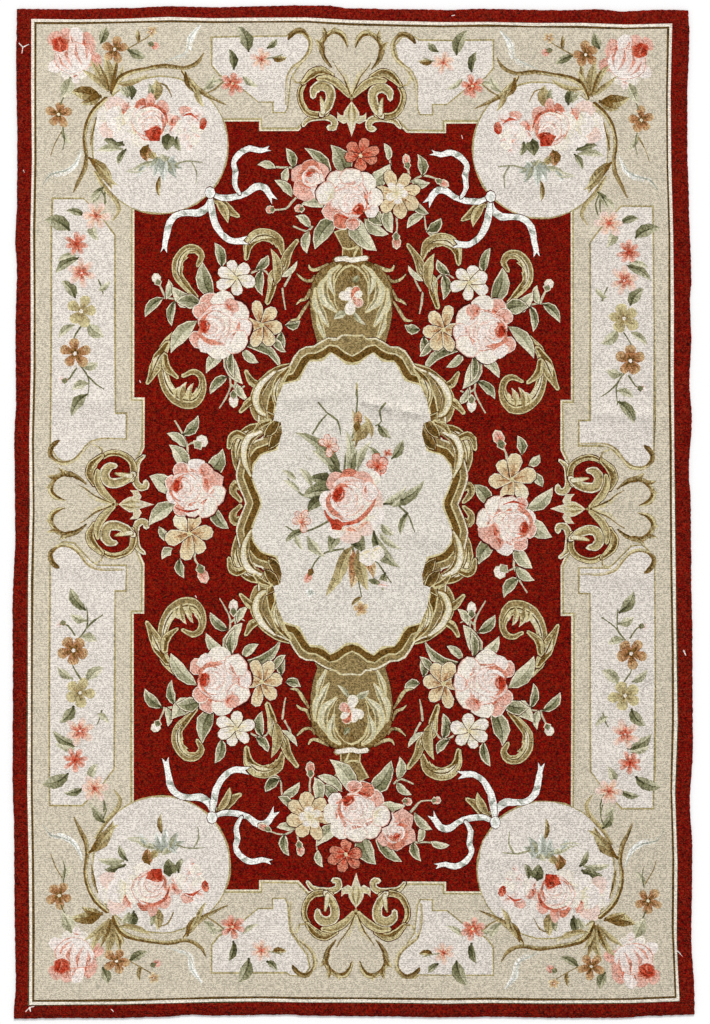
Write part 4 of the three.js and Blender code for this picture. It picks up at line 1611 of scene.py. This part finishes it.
def thin_lines(points, lines, closeness, rounds=4):
    for turn in range(rounds):
        count = np.bincount(lines.ravel(), minlength=len(points))
        ends = np.concatenate([lines[:, 1], lines[:, 0]])
        starts = np.concatenate([lines[:, 0], lines[:, 1]])
        order = np.argsort(starts, kind="stable")
        first = np.searchsorted(starts[order], np.arange(len(points)))
        simple = np.nonzero(count == 2)[0]
        before = ends[order][first[simple]]
        after = ends[order][first[simple] + 1]
        run = points[after] - points[before]
        off = np.abs(np.imag(np.conj(run) * (points[simple] - points[before])))
        off = off / np.maximum(np.abs(run), TINY)
        rank = np.full(len(points), -1.0)
        near = (off < closeness) & (before != after) & (np.abs(run) < LONGEST_RUN)
        rank[simple[near]] = np.random.default_rng(turn).random(near.sum()) + 1
        chosen = near & (rank[simple] > rank[before]) & (rank[simple] > rank[after])
        gone = np.zeros(len(points), bool)
        gone[simple[chosen]] = True
        kept = lines[~(gone[lines[:, 0]] | gone[lines[:, 1]])]
        lines = np.concatenate([kept, np.stack([before[chosen], after[chosen]], axis=1)])
    return lines


def lay_net(chosen, loose, closeness):
    closed = []
    start = 0
    for index in chosen:
        closed.append(list(range(start, start + len(outlines[index]))))
        start += len(outlines[index])
    net, triangles, _ = triangulate(np.concatenate([outlines[index] for index in chosen]), [], closed)
    owners = top_patches(net, triangles, chosen)
    sides = np.concatenate([triangles[:, (0, 1)], triangles[:, (1, 2)], triangles[:, (2, 0)]])
    sides.sort(axis=1)
    side_owners = np.concatenate([owners, owners, owners])
    order = np.lexsort((sides[:, 1], sides[:, 0]))
    sides = sides[order]
    side_owners = side_owners[order]
    shared = (sides[1:] == sides[:-1]).all(axis=1) & (side_owners[1:] != side_owners[:-1])
    shared &= (side_owners[1:] > -2) & (side_owners[:-1] > -2)
    lines = thin_lines(net, sides[1:][shared], closeness)
    used, renumbered = np.unique(lines, return_inverse=True)
    lines = renumbered.reshape(-1, 2) + len(edge)
    edge_lines = [(i, (i + 1) % len(edge)) for i in range(len(edge))]
    points = np.concatenate([edge, net[used], loose])
    net, triangles, sources = triangulate(points, edge_lines + lines.tolist(), [])
    owners = top_patches(net, triangles, chosen)
    place = {source: index for index, sources in enumerate(sources) for source in sources}
    rim = np.array([place[i] for i in range(len(edge))])
    return net, triangles[owners > -2], owners[owners > -2], rim


every_patch = list(range(len(outlines)))
net, triangles, top_patch, rim = lay_net(every_patch, loose, FACE_CLOSENESS)
print("upper face:", len(net), "points,", len(triangles), "triangles,", len(np.unique(top_patch)), "patches")
large_patches = [0] + [index for index in every_patch[1:] if area(outlines[index]) > FINE_PATCH]
for index in large_patches[1:]:
    if len(outlines[index]) > MANY_POINTS:
        outlines[index] = outlines[index][::2]
back_net, back_triangles, back_patch, back_rim = lay_net(large_patches, loose[::3], BACK_CLOSENESS)
print("back:", len(back_net), "points,", len(back_triangles), "triangles,", len(np.unique(back_patch)),
      "patches")

# %% [markdown]
# One net becomes the upper face of the cloth. The simpler one, turned over, becomes its back, and a rounded
# rim joins the two. Their edges have the same points, so the cloth is closed all round.


# %% Upper face, back and rim
def cloth_place(points):
    straight = (points + MIDDLE_ON_RUG) * SQUARE
    return on_cloth(straight.real, straight.imag)


edge_x, edge_y = cloth_place(net[rim])
middle_x = (edge_x.min() + edge_x.max()) / 2
middle_y = (edge_y.min() + edge_y.max()) / 2


def sheet_of(points, z):
    x, y = cloth_place(points)
    return np.stack([x - middle_x, y - middle_y, lift(x, y) + z], axis=1)


RIM_BULGE = 1.1
upper = sheet_of(net, THICKNESS)
under = sheet_of(back_net, 0.0)
ring = sheet_of(net[rim], THICKNESS / 2)
following = np.roll(ring, -1, axis=0) - np.roll(ring, 1, axis=0)
outward = np.stack([following[:, 1], -following[:, 0], np.zeros(len(rim))], axis=1)
outward /= np.linalg.norm(outward, axis=1)[:, None]
ring = ring + outward * RIM_BULGE
vertices = np.concatenate([upper, under, ring]) / 1000

top_rim = rim
under_rim = back_rim + len(upper)
ring_rim = np.arange(len(rim)) + len(upper) + len(under)


def wall_of(above, below):
    next_above = np.roll(above, -1)
    next_below = np.roll(below, -1)
    return np.concatenate([np.stack([above, below, next_above], axis=1),
                           np.stack([next_above, below, next_below], axis=1)])


walls = np.concatenate([wall_of(top_rim, ring_rim), wall_of(ring_rim, under_rim)])
faces = np.concatenate([triangles, back_triangles[:, ::-1] + len(upper), walls])
face_patch = np.concatenate([top_patch, back_patch, np.full(len(walls), -1)])
face_kind = np.repeat((0, 1, 2), (len(triangles), len(back_triangles), len(walls)))
print("triangles of the rug:", len(faces))

# %% The mesh
mesh = bpy.data.meshes.new("rug_cloth")
mesh.vertices.add(len(vertices))
mesh.vertices.foreach_set("co", vertices.ravel())
mesh.loops.add(len(faces) * 3)
mesh.loops.foreach_set("vertex_index", faces.ravel().astype(np.int32))
mesh.polygons.add(len(faces))
mesh.polygons.foreach_set("loop_start", np.arange(len(faces), dtype=np.int32) * 3)
mesh.polygons.foreach_set("loop_total", np.full(len(faces), 3, dtype=np.int32))
mesh.update(calc_edges=True)
mesh.polygons.foreach_set("use_smooth", np.ones(len(mesh.polygons), dtype=bool))
cloth = bpy.data.objects.new("rug_cloth", mesh)
bpy.context.scene.collection.objects.link(cloth)
open_edges = len(faces) * 3 - 2 * len(mesh.edges)
print("edges:", len(mesh.edges), "open or shared too often:", open_edges)

# %% [markdown]
# Each corner of a face carries its patch's two yarns as colours. The first colour's alpha is the share of
# the second yarn at that place. Corners rather than points carry them, so that a colour ends at its edge.

# %% The two yarns of each patch
patch_yarns = [("edge_red", "edge_red", None)]
patch_yarns += [(yarn, second, ends) for _, yarn, second, ends in cartoon.patches]
first_colours = np.array([YARN_COLOURS[row[0]] for row in patch_yarns])
second_colours = np.array([YARN_COLOURS[row[1]] for row in patch_yarns])
blend_start = np.array([0 if row[2] is None else row[2][0] for row in patch_yarns])
blend_run = np.array([0 if row[2] is None else row[2][1] - row[2][0] for row in patch_yarns])

corner_patch = np.repeat(face_patch + 1, 3)
place = np.concatenate([net, back_net, net[rim]])[faces.ravel()]
run = blend_run[corner_patch]
share = np.real((place - blend_start[corner_patch]) * np.conj(run)) / np.maximum(np.abs(run) ** 2, TINY)
share = np.where(np.abs(run) > 0, np.clip(share, 0, 1), 0)
first = np.column_stack([first_colours[corner_patch], share]).astype(np.float32)
second = np.column_stack([second_colours[corner_patch], np.ones(len(share))]).astype(np.float32)
mesh.attributes.new("yarn", "FLOAT_COLOR", "CORNER").data.foreach_set("color", first.ravel())
mesh.attributes.new("second_yarn", "FLOAT_COLOR", "CORNER").data.foreach_set("color", second.ravel())
print("patches with two yarns:", int((blend_run != 0).sum()))

# %% [markdown]
# The fine mesh has long thin triangles, and on them Blender's own smooth shading would show. The cloth's
# true slope is known from the creases, so the normals are worked out from it and given to the mesh. They
# tilt a little more than the slope does, which gives the low creases the soft shadows of real ones.

# %% Normals from the creases' slopes
SLOPE_STEP = 0.5
RIM_TILT = 0.7
SHARPER = 1.45


def upwards(points):
    x, y = cloth_place(points)
    slope_x = (lift(x + SLOPE_STEP, y) - lift(x - SLOPE_STEP, y)) / (2 * SLOPE_STEP)
    slope_y = (lift(x, y + SLOPE_STEP) - lift(x, y - SLOPE_STEP)) / (2 * SLOPE_STEP)
    up = np.stack([-slope_x * SHARPER, -slope_y * SHARPER, np.ones(len(x))], axis=1)
    return up / np.linalg.norm(up, axis=1)[:, None]


normals = np.concatenate([upwards(net), -upwards(back_net), outward])
normals[top_rim] += outward * RIM_TILT
normals[under_rim] += outward * RIM_TILT
normals /= np.linalg.norm(normals, axis=1)[:, None]
mesh.normals_split_custom_set_from_vertices(normals.tolist())
print("flattest normal on the upper face:", round(float(normals[:len(net), 2].min()), 3))

# %% [markdown]
# A UV map lays the cloth out on one square sheet: the upper face large, the back small beside it and the rim
# as four strips. Nothing in the material reads it, but a baked texture needs a place for every face.

# %% The map for baking
MARGIN = 0.005
FACE_SCALE = 0.536
BACK_SCALE = 0.26
BACK_START = 0.67
STRIP_SCALE = 0.17
STRIP_THICKNESS_SCALE = 8
STRIPS_START = (0.83, 0.52)
STRIP_GAP = 0.1
spots = vertices[faces.ravel()]
low = vertices[:, :2].min(axis=0)
kinds = np.repeat(face_kind, 3)
on_top = (spots[:, :2] - low) * FACE_SCALE + (MARGIN, MARGIN)
on_back = (spots[:, :2] - low) * BACK_SCALE + (BACK_START, MARGIN)
wall_middle = vertices[faces].mean(axis=1)
beside = np.abs(wall_middle[:, 0]) / WIDTH > np.abs(wall_middle[:, 1]) / LENGTH
strip = np.where(beside, wall_middle[:, 0] > 0, 2 + (wall_middle[:, 1] > 0))
strip = np.repeat(strip, 3)
along = np.where(strip < 2, spots[:, 1], spots[:, 0])
strip_u = STRIPS_START[0] + along * STRIP_SCALE
strip_v = STRIPS_START[1] + strip * STRIP_GAP + spots[:, 2] * STRIP_THICKNESS_SCALE
on_strip = np.column_stack([strip_u, strip_v])
uv = np.where((kinds == 0)[:, None], on_top, np.where((kinds == 1)[:, None], on_back, on_strip))
mesh.uv_layers.new(name="OFBake").data.foreach_set("uv", uv.ravel().astype(np.float32))
print("the map runs from", uv.min(axis=0).round(3), "to", uv.max(axis=0).round(3))

# %% [markdown]
# ## The wool
# A tapestry weave shows only its weft: fat little stitches in rows, a row about 3.8 mm high. The material
# counts stitches from the place on the rug. Each stitch draws a random number, which picks one of the two
# yarns where they mix and makes that stitch a little lighter or darker. The rounded rows, the stitches and
# the fuzz of the wool stand proud through a bump. Shader maths by nodes is long to write, so the class `Wire`
# lets Python's own signs add them: the sum of two wires makes an Add node.


# %% Shader maths as Python
class Wire:
    def __init__(self, wool, socket):
        self.wool = wool
        self.socket = socket

    def join(self, operation, first, second=0.0):
        return self.wool.add("ShaderNodeMath", {"operation": operation}, {0: first, 1: second})

    def __add__(self, other):
        return self.join("ADD", self, other)

    def __radd__(self, other):
        return self.join("ADD", other, self)

    def __sub__(self, other):
        return self.join("SUBTRACT", self, other)

    def __rsub__(self, other):
        return self.join("SUBTRACT", other, self)

    def __mul__(self, other):
        return self.join("MULTIPLY", self, other)

    def __rmul__(self, other):
        return self.join("MULTIPLY", other, self)

    def __truediv__(self, other):
        return self.join("DIVIDE", self, other)

    def __lt__(self, other):
        return self.join("LESS_THAN", self, other)

    def floor(self):
        return self.join("FLOOR", self)

    def part(self):
        return self.join("FRACT", self)

    def sine(self):
        return self.join("SINE", self)


class Wool:
    def __init__(self, material):
        self.tree = material.node_tree

    def add(self, kind, settings=None, inputs=None, output=0):
        node = self.tree.nodes.new(kind)
        for name, value in (settings or {}).items():
            setattr(node, name, value)
        for name, value in (inputs or {}).items():
            if isinstance(value, Wire):
                self.tree.links.new(value.socket, node.inputs[name])
            else:
                node.inputs[name].default_value = value
        return Wire(self, node.outputs[output])


print("steps of a wire by name:", [name for name in vars(Wire) if "_" not in name])

# %% Rows and stitches
RIB = 0.0038
STITCH = 0.0021
PICKS_PER_RIB = 2
ROW_WANDER = 0.004
WANDER_SCALE = 9.0
NEXT_ROW_SHIFT = 0.37

material = bpy.data.materials.new("wool_weave")
material.use_nodes = True
shader = material.node_tree.nodes["Principled BSDF"]
wool = Wool(material)

coordinates = wool.add("ShaderNodeTexCoord", output="Object")
separated = wool.add("ShaderNodeSeparateXYZ", {}, {0: coordinates})
place_x = Wire(wool, separated.socket.node.outputs["X"])
place_y = Wire(wool, separated.socket.node.outputs["Y"])

drift = wool.add("ShaderNodeTexNoise", {}, {"Vector": coordinates, "Scale": WANDER_SCALE, "Detail": 1.0})
ribs = (place_y + (drift - 0.5) * ROW_WANDER) / RIB
in_rib = ribs.part()
picks = ribs * PICKS_PER_RIB
pick = picks.floor()
columns = place_x / STITCH + pick * NEXT_ROW_SHIFT
column = columns.floor()
in_column = columns.part()
print("stitches to a metre:", round(1 / STITCH), "and rows:", round(PICKS_PER_RIB / RIB))

# %% [markdown]
# Where two yarns mix, the weaver hatches: a few rows of one yarn run out into the other. So the lot that
# picks the yarn is the same for three rows of a column, and the two yarns change place over a short way.

# %% The yarn of each stitch
HATCH_ROWS = 3
HATCH_SPREAD = 0.7
HATCH_START = 0.15
HATCH_CONTRAST = 1.8


def lottery(x, y, shift):
    cell = wool.add("ShaderNodeCombineXYZ", {}, {0: x, 1: y, 2: shift})
    return wool.add("ShaderNodeTexWhiteNoise", {"noise_dimensions": "3D"}, {"Vector": cell})


tone_lot = lottery(column, pick, 1.0)
second_lot = lottery(column, pick, 2.0)
hatch_lot = lottery(column, (picks / HATCH_ROWS).floor(), 3.0)

yarn_node = wool.add("ShaderNodeAttribute", {"attribute_name": "yarn"}, output="Color")
yarn_share = Wire(wool, yarn_node.socket.node.outputs["Alpha"])
second_yarn = wool.add("ShaderNodeAttribute", {"attribute_name": "second_yarn"}, output="Color")
hatched = (yarn_share - hatch_lot * HATCH_SPREAD - HATCH_START) * HATCH_CONTRAST + 0.5
mixed = wool.add("ShaderNodeClamp", {}, {"Value": hatched})
colour = wool.add("ShaderNodeMix", {"data_type": "RGBA"}, {0: mixed, 6: yarn_node, 7: second_yarn}, output=2)
print("nodes so far:", len(material.node_tree.nodes))

# %% [markdown]
# Now each stitch gets a lighter or darker tone. The tone adds the stitch's own lot, the fuzz of the wool,
# slow patches of dye and the shade between the ribs. Dark wool looks more mottled than pale wool, so it gets
# a second, coarser lot: this mottling is partly uneven yarn and partly painted light, the glints and shadows
# of single fibres painted into the colour. How dark a yarn is shows in its green. The rug's upper left lay in
# slightly brighter light. Last, some stitches carry a little pale or dark lint.

# %% Light and shade on the stitches
FUZZ_SCALE = 700.0
DYE_SCALE = 14.0
GRAIN = 0.64
FUZZ = 0.3
DYE_PATCHES = 0.12
RIB_SHADE = 0.22
MEAN_RIB = 0.64
DARK_SLOPE = -2.0
COARSE_GRAIN_AND_GLINT = 0.5
FINE_GRAIN_AND_GLINT = 0.7
LIGHTER_UP = 0.045
DARKER_RIGHT = 0.07
LINT = 0.035
DARKEST = (0.002, 0.0, 0.0)

fuzz = wool.add("ShaderNodeTexNoise", {},
                {"Vector": coordinates, "Scale": FUZZ_SCALE, "Detail": 2.0, "Roughness": 0.7})
patchy = wool.add("ShaderNodeTexNoise", {}, {"Vector": coordinates, "Scale": DYE_SCALE, "Detail": 3.0})
green = wool.add("ShaderNodeSeparateColor", {}, {0: colour}, output=1)
dark_wool = wool.add("ShaderNodeClamp", {}, {"Value": green * DARK_SLOPE + 1.0})
coarse_lot = lottery((columns / 2).floor(), (picks / 2).floor(), 4.0)
rib_shape = (in_rib * math.pi).sine()
stitch_shape = (in_column * math.pi).sine()
light = 1.0 + GRAIN * (tone_lot - 0.5) + FUZZ * (fuzz - 0.5)
light = light + DYE_PATCHES * (patchy - 0.5) + RIB_SHADE * (rib_shape - MEAN_RIB)
# Painted light: dark wool gets extra light and dark mottling, partly uneven yarn and partly painted glints
# and shadows of its fibres
light = light + dark_wool * (COARSE_GRAIN_AND_GLINT * (coarse_lot - 0.5) + FINE_GRAIN_AND_GLINT * (tone_lot - 0.5))
light = light + LIGHTER_UP * place_y - DARKER_RIGHT * place_x
shade = wool.add("ShaderNodeCombineXYZ", {}, {0: light, 1: light, 2: light})
colour = wool.add("ShaderNodeMix", {"data_type": "RGBA", "blend_type": "MULTIPLY"},
                  {0: 1.0, 6: colour, 7: shade}, output=2)
lint = (second_lot - 0.5) * LINT
lint_colour = wool.add("ShaderNodeCombineXYZ", {}, {0: lint, 1: lint * 0.6 - 0.002, 2: lint * 0.5 - 0.006})
colour = wool.add("ShaderNodeVectorMath", {"operation": "ADD"}, {0: colour, 1: lint_colour})
colour = wool.add("ShaderNodeVectorMath", {"operation": "MAXIMUM"}, {0: colour, 1: DARKEST})
print("nodes so far:", len(material.node_tree.nodes))

# %% The bump, and the finished wool
BUMP_STRENGTH = 0.5
BUMP_HEIGHT = 0.0008
RIB_PART = 0.6
STITCH_PART = 0.3
FUZZ_PART = 0.5
UNEVEN_PART = 0.3
ROUGHNESS = 0.95
SHINE = 0.1

height = rib_shape * RIB_PART + stitch_shape * STITCH_PART + fuzz * FUZZ_PART + tone_lot * UNEVEN_PART
bump = wool.add("ShaderNodeBump", {}, {"Strength": BUMP_STRENGTH, "Distance": BUMP_HEIGHT, "Height": height})
wool.tree.links.new(colour.socket, shader.inputs["Base Color"])
wool.tree.links.new(bump.socket, shader.inputs["Normal"])
shader.inputs["Roughness"].default_value = ROUGHNESS
shader.inputs["Specular IOR Level"].default_value = SHINE
mesh.materials.append(material)
print("nodes of the wool:", len(material.node_tree.nodes))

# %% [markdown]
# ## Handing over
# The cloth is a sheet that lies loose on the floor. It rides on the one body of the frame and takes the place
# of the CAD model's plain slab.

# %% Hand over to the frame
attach(cloth, "root")
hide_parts("rug")
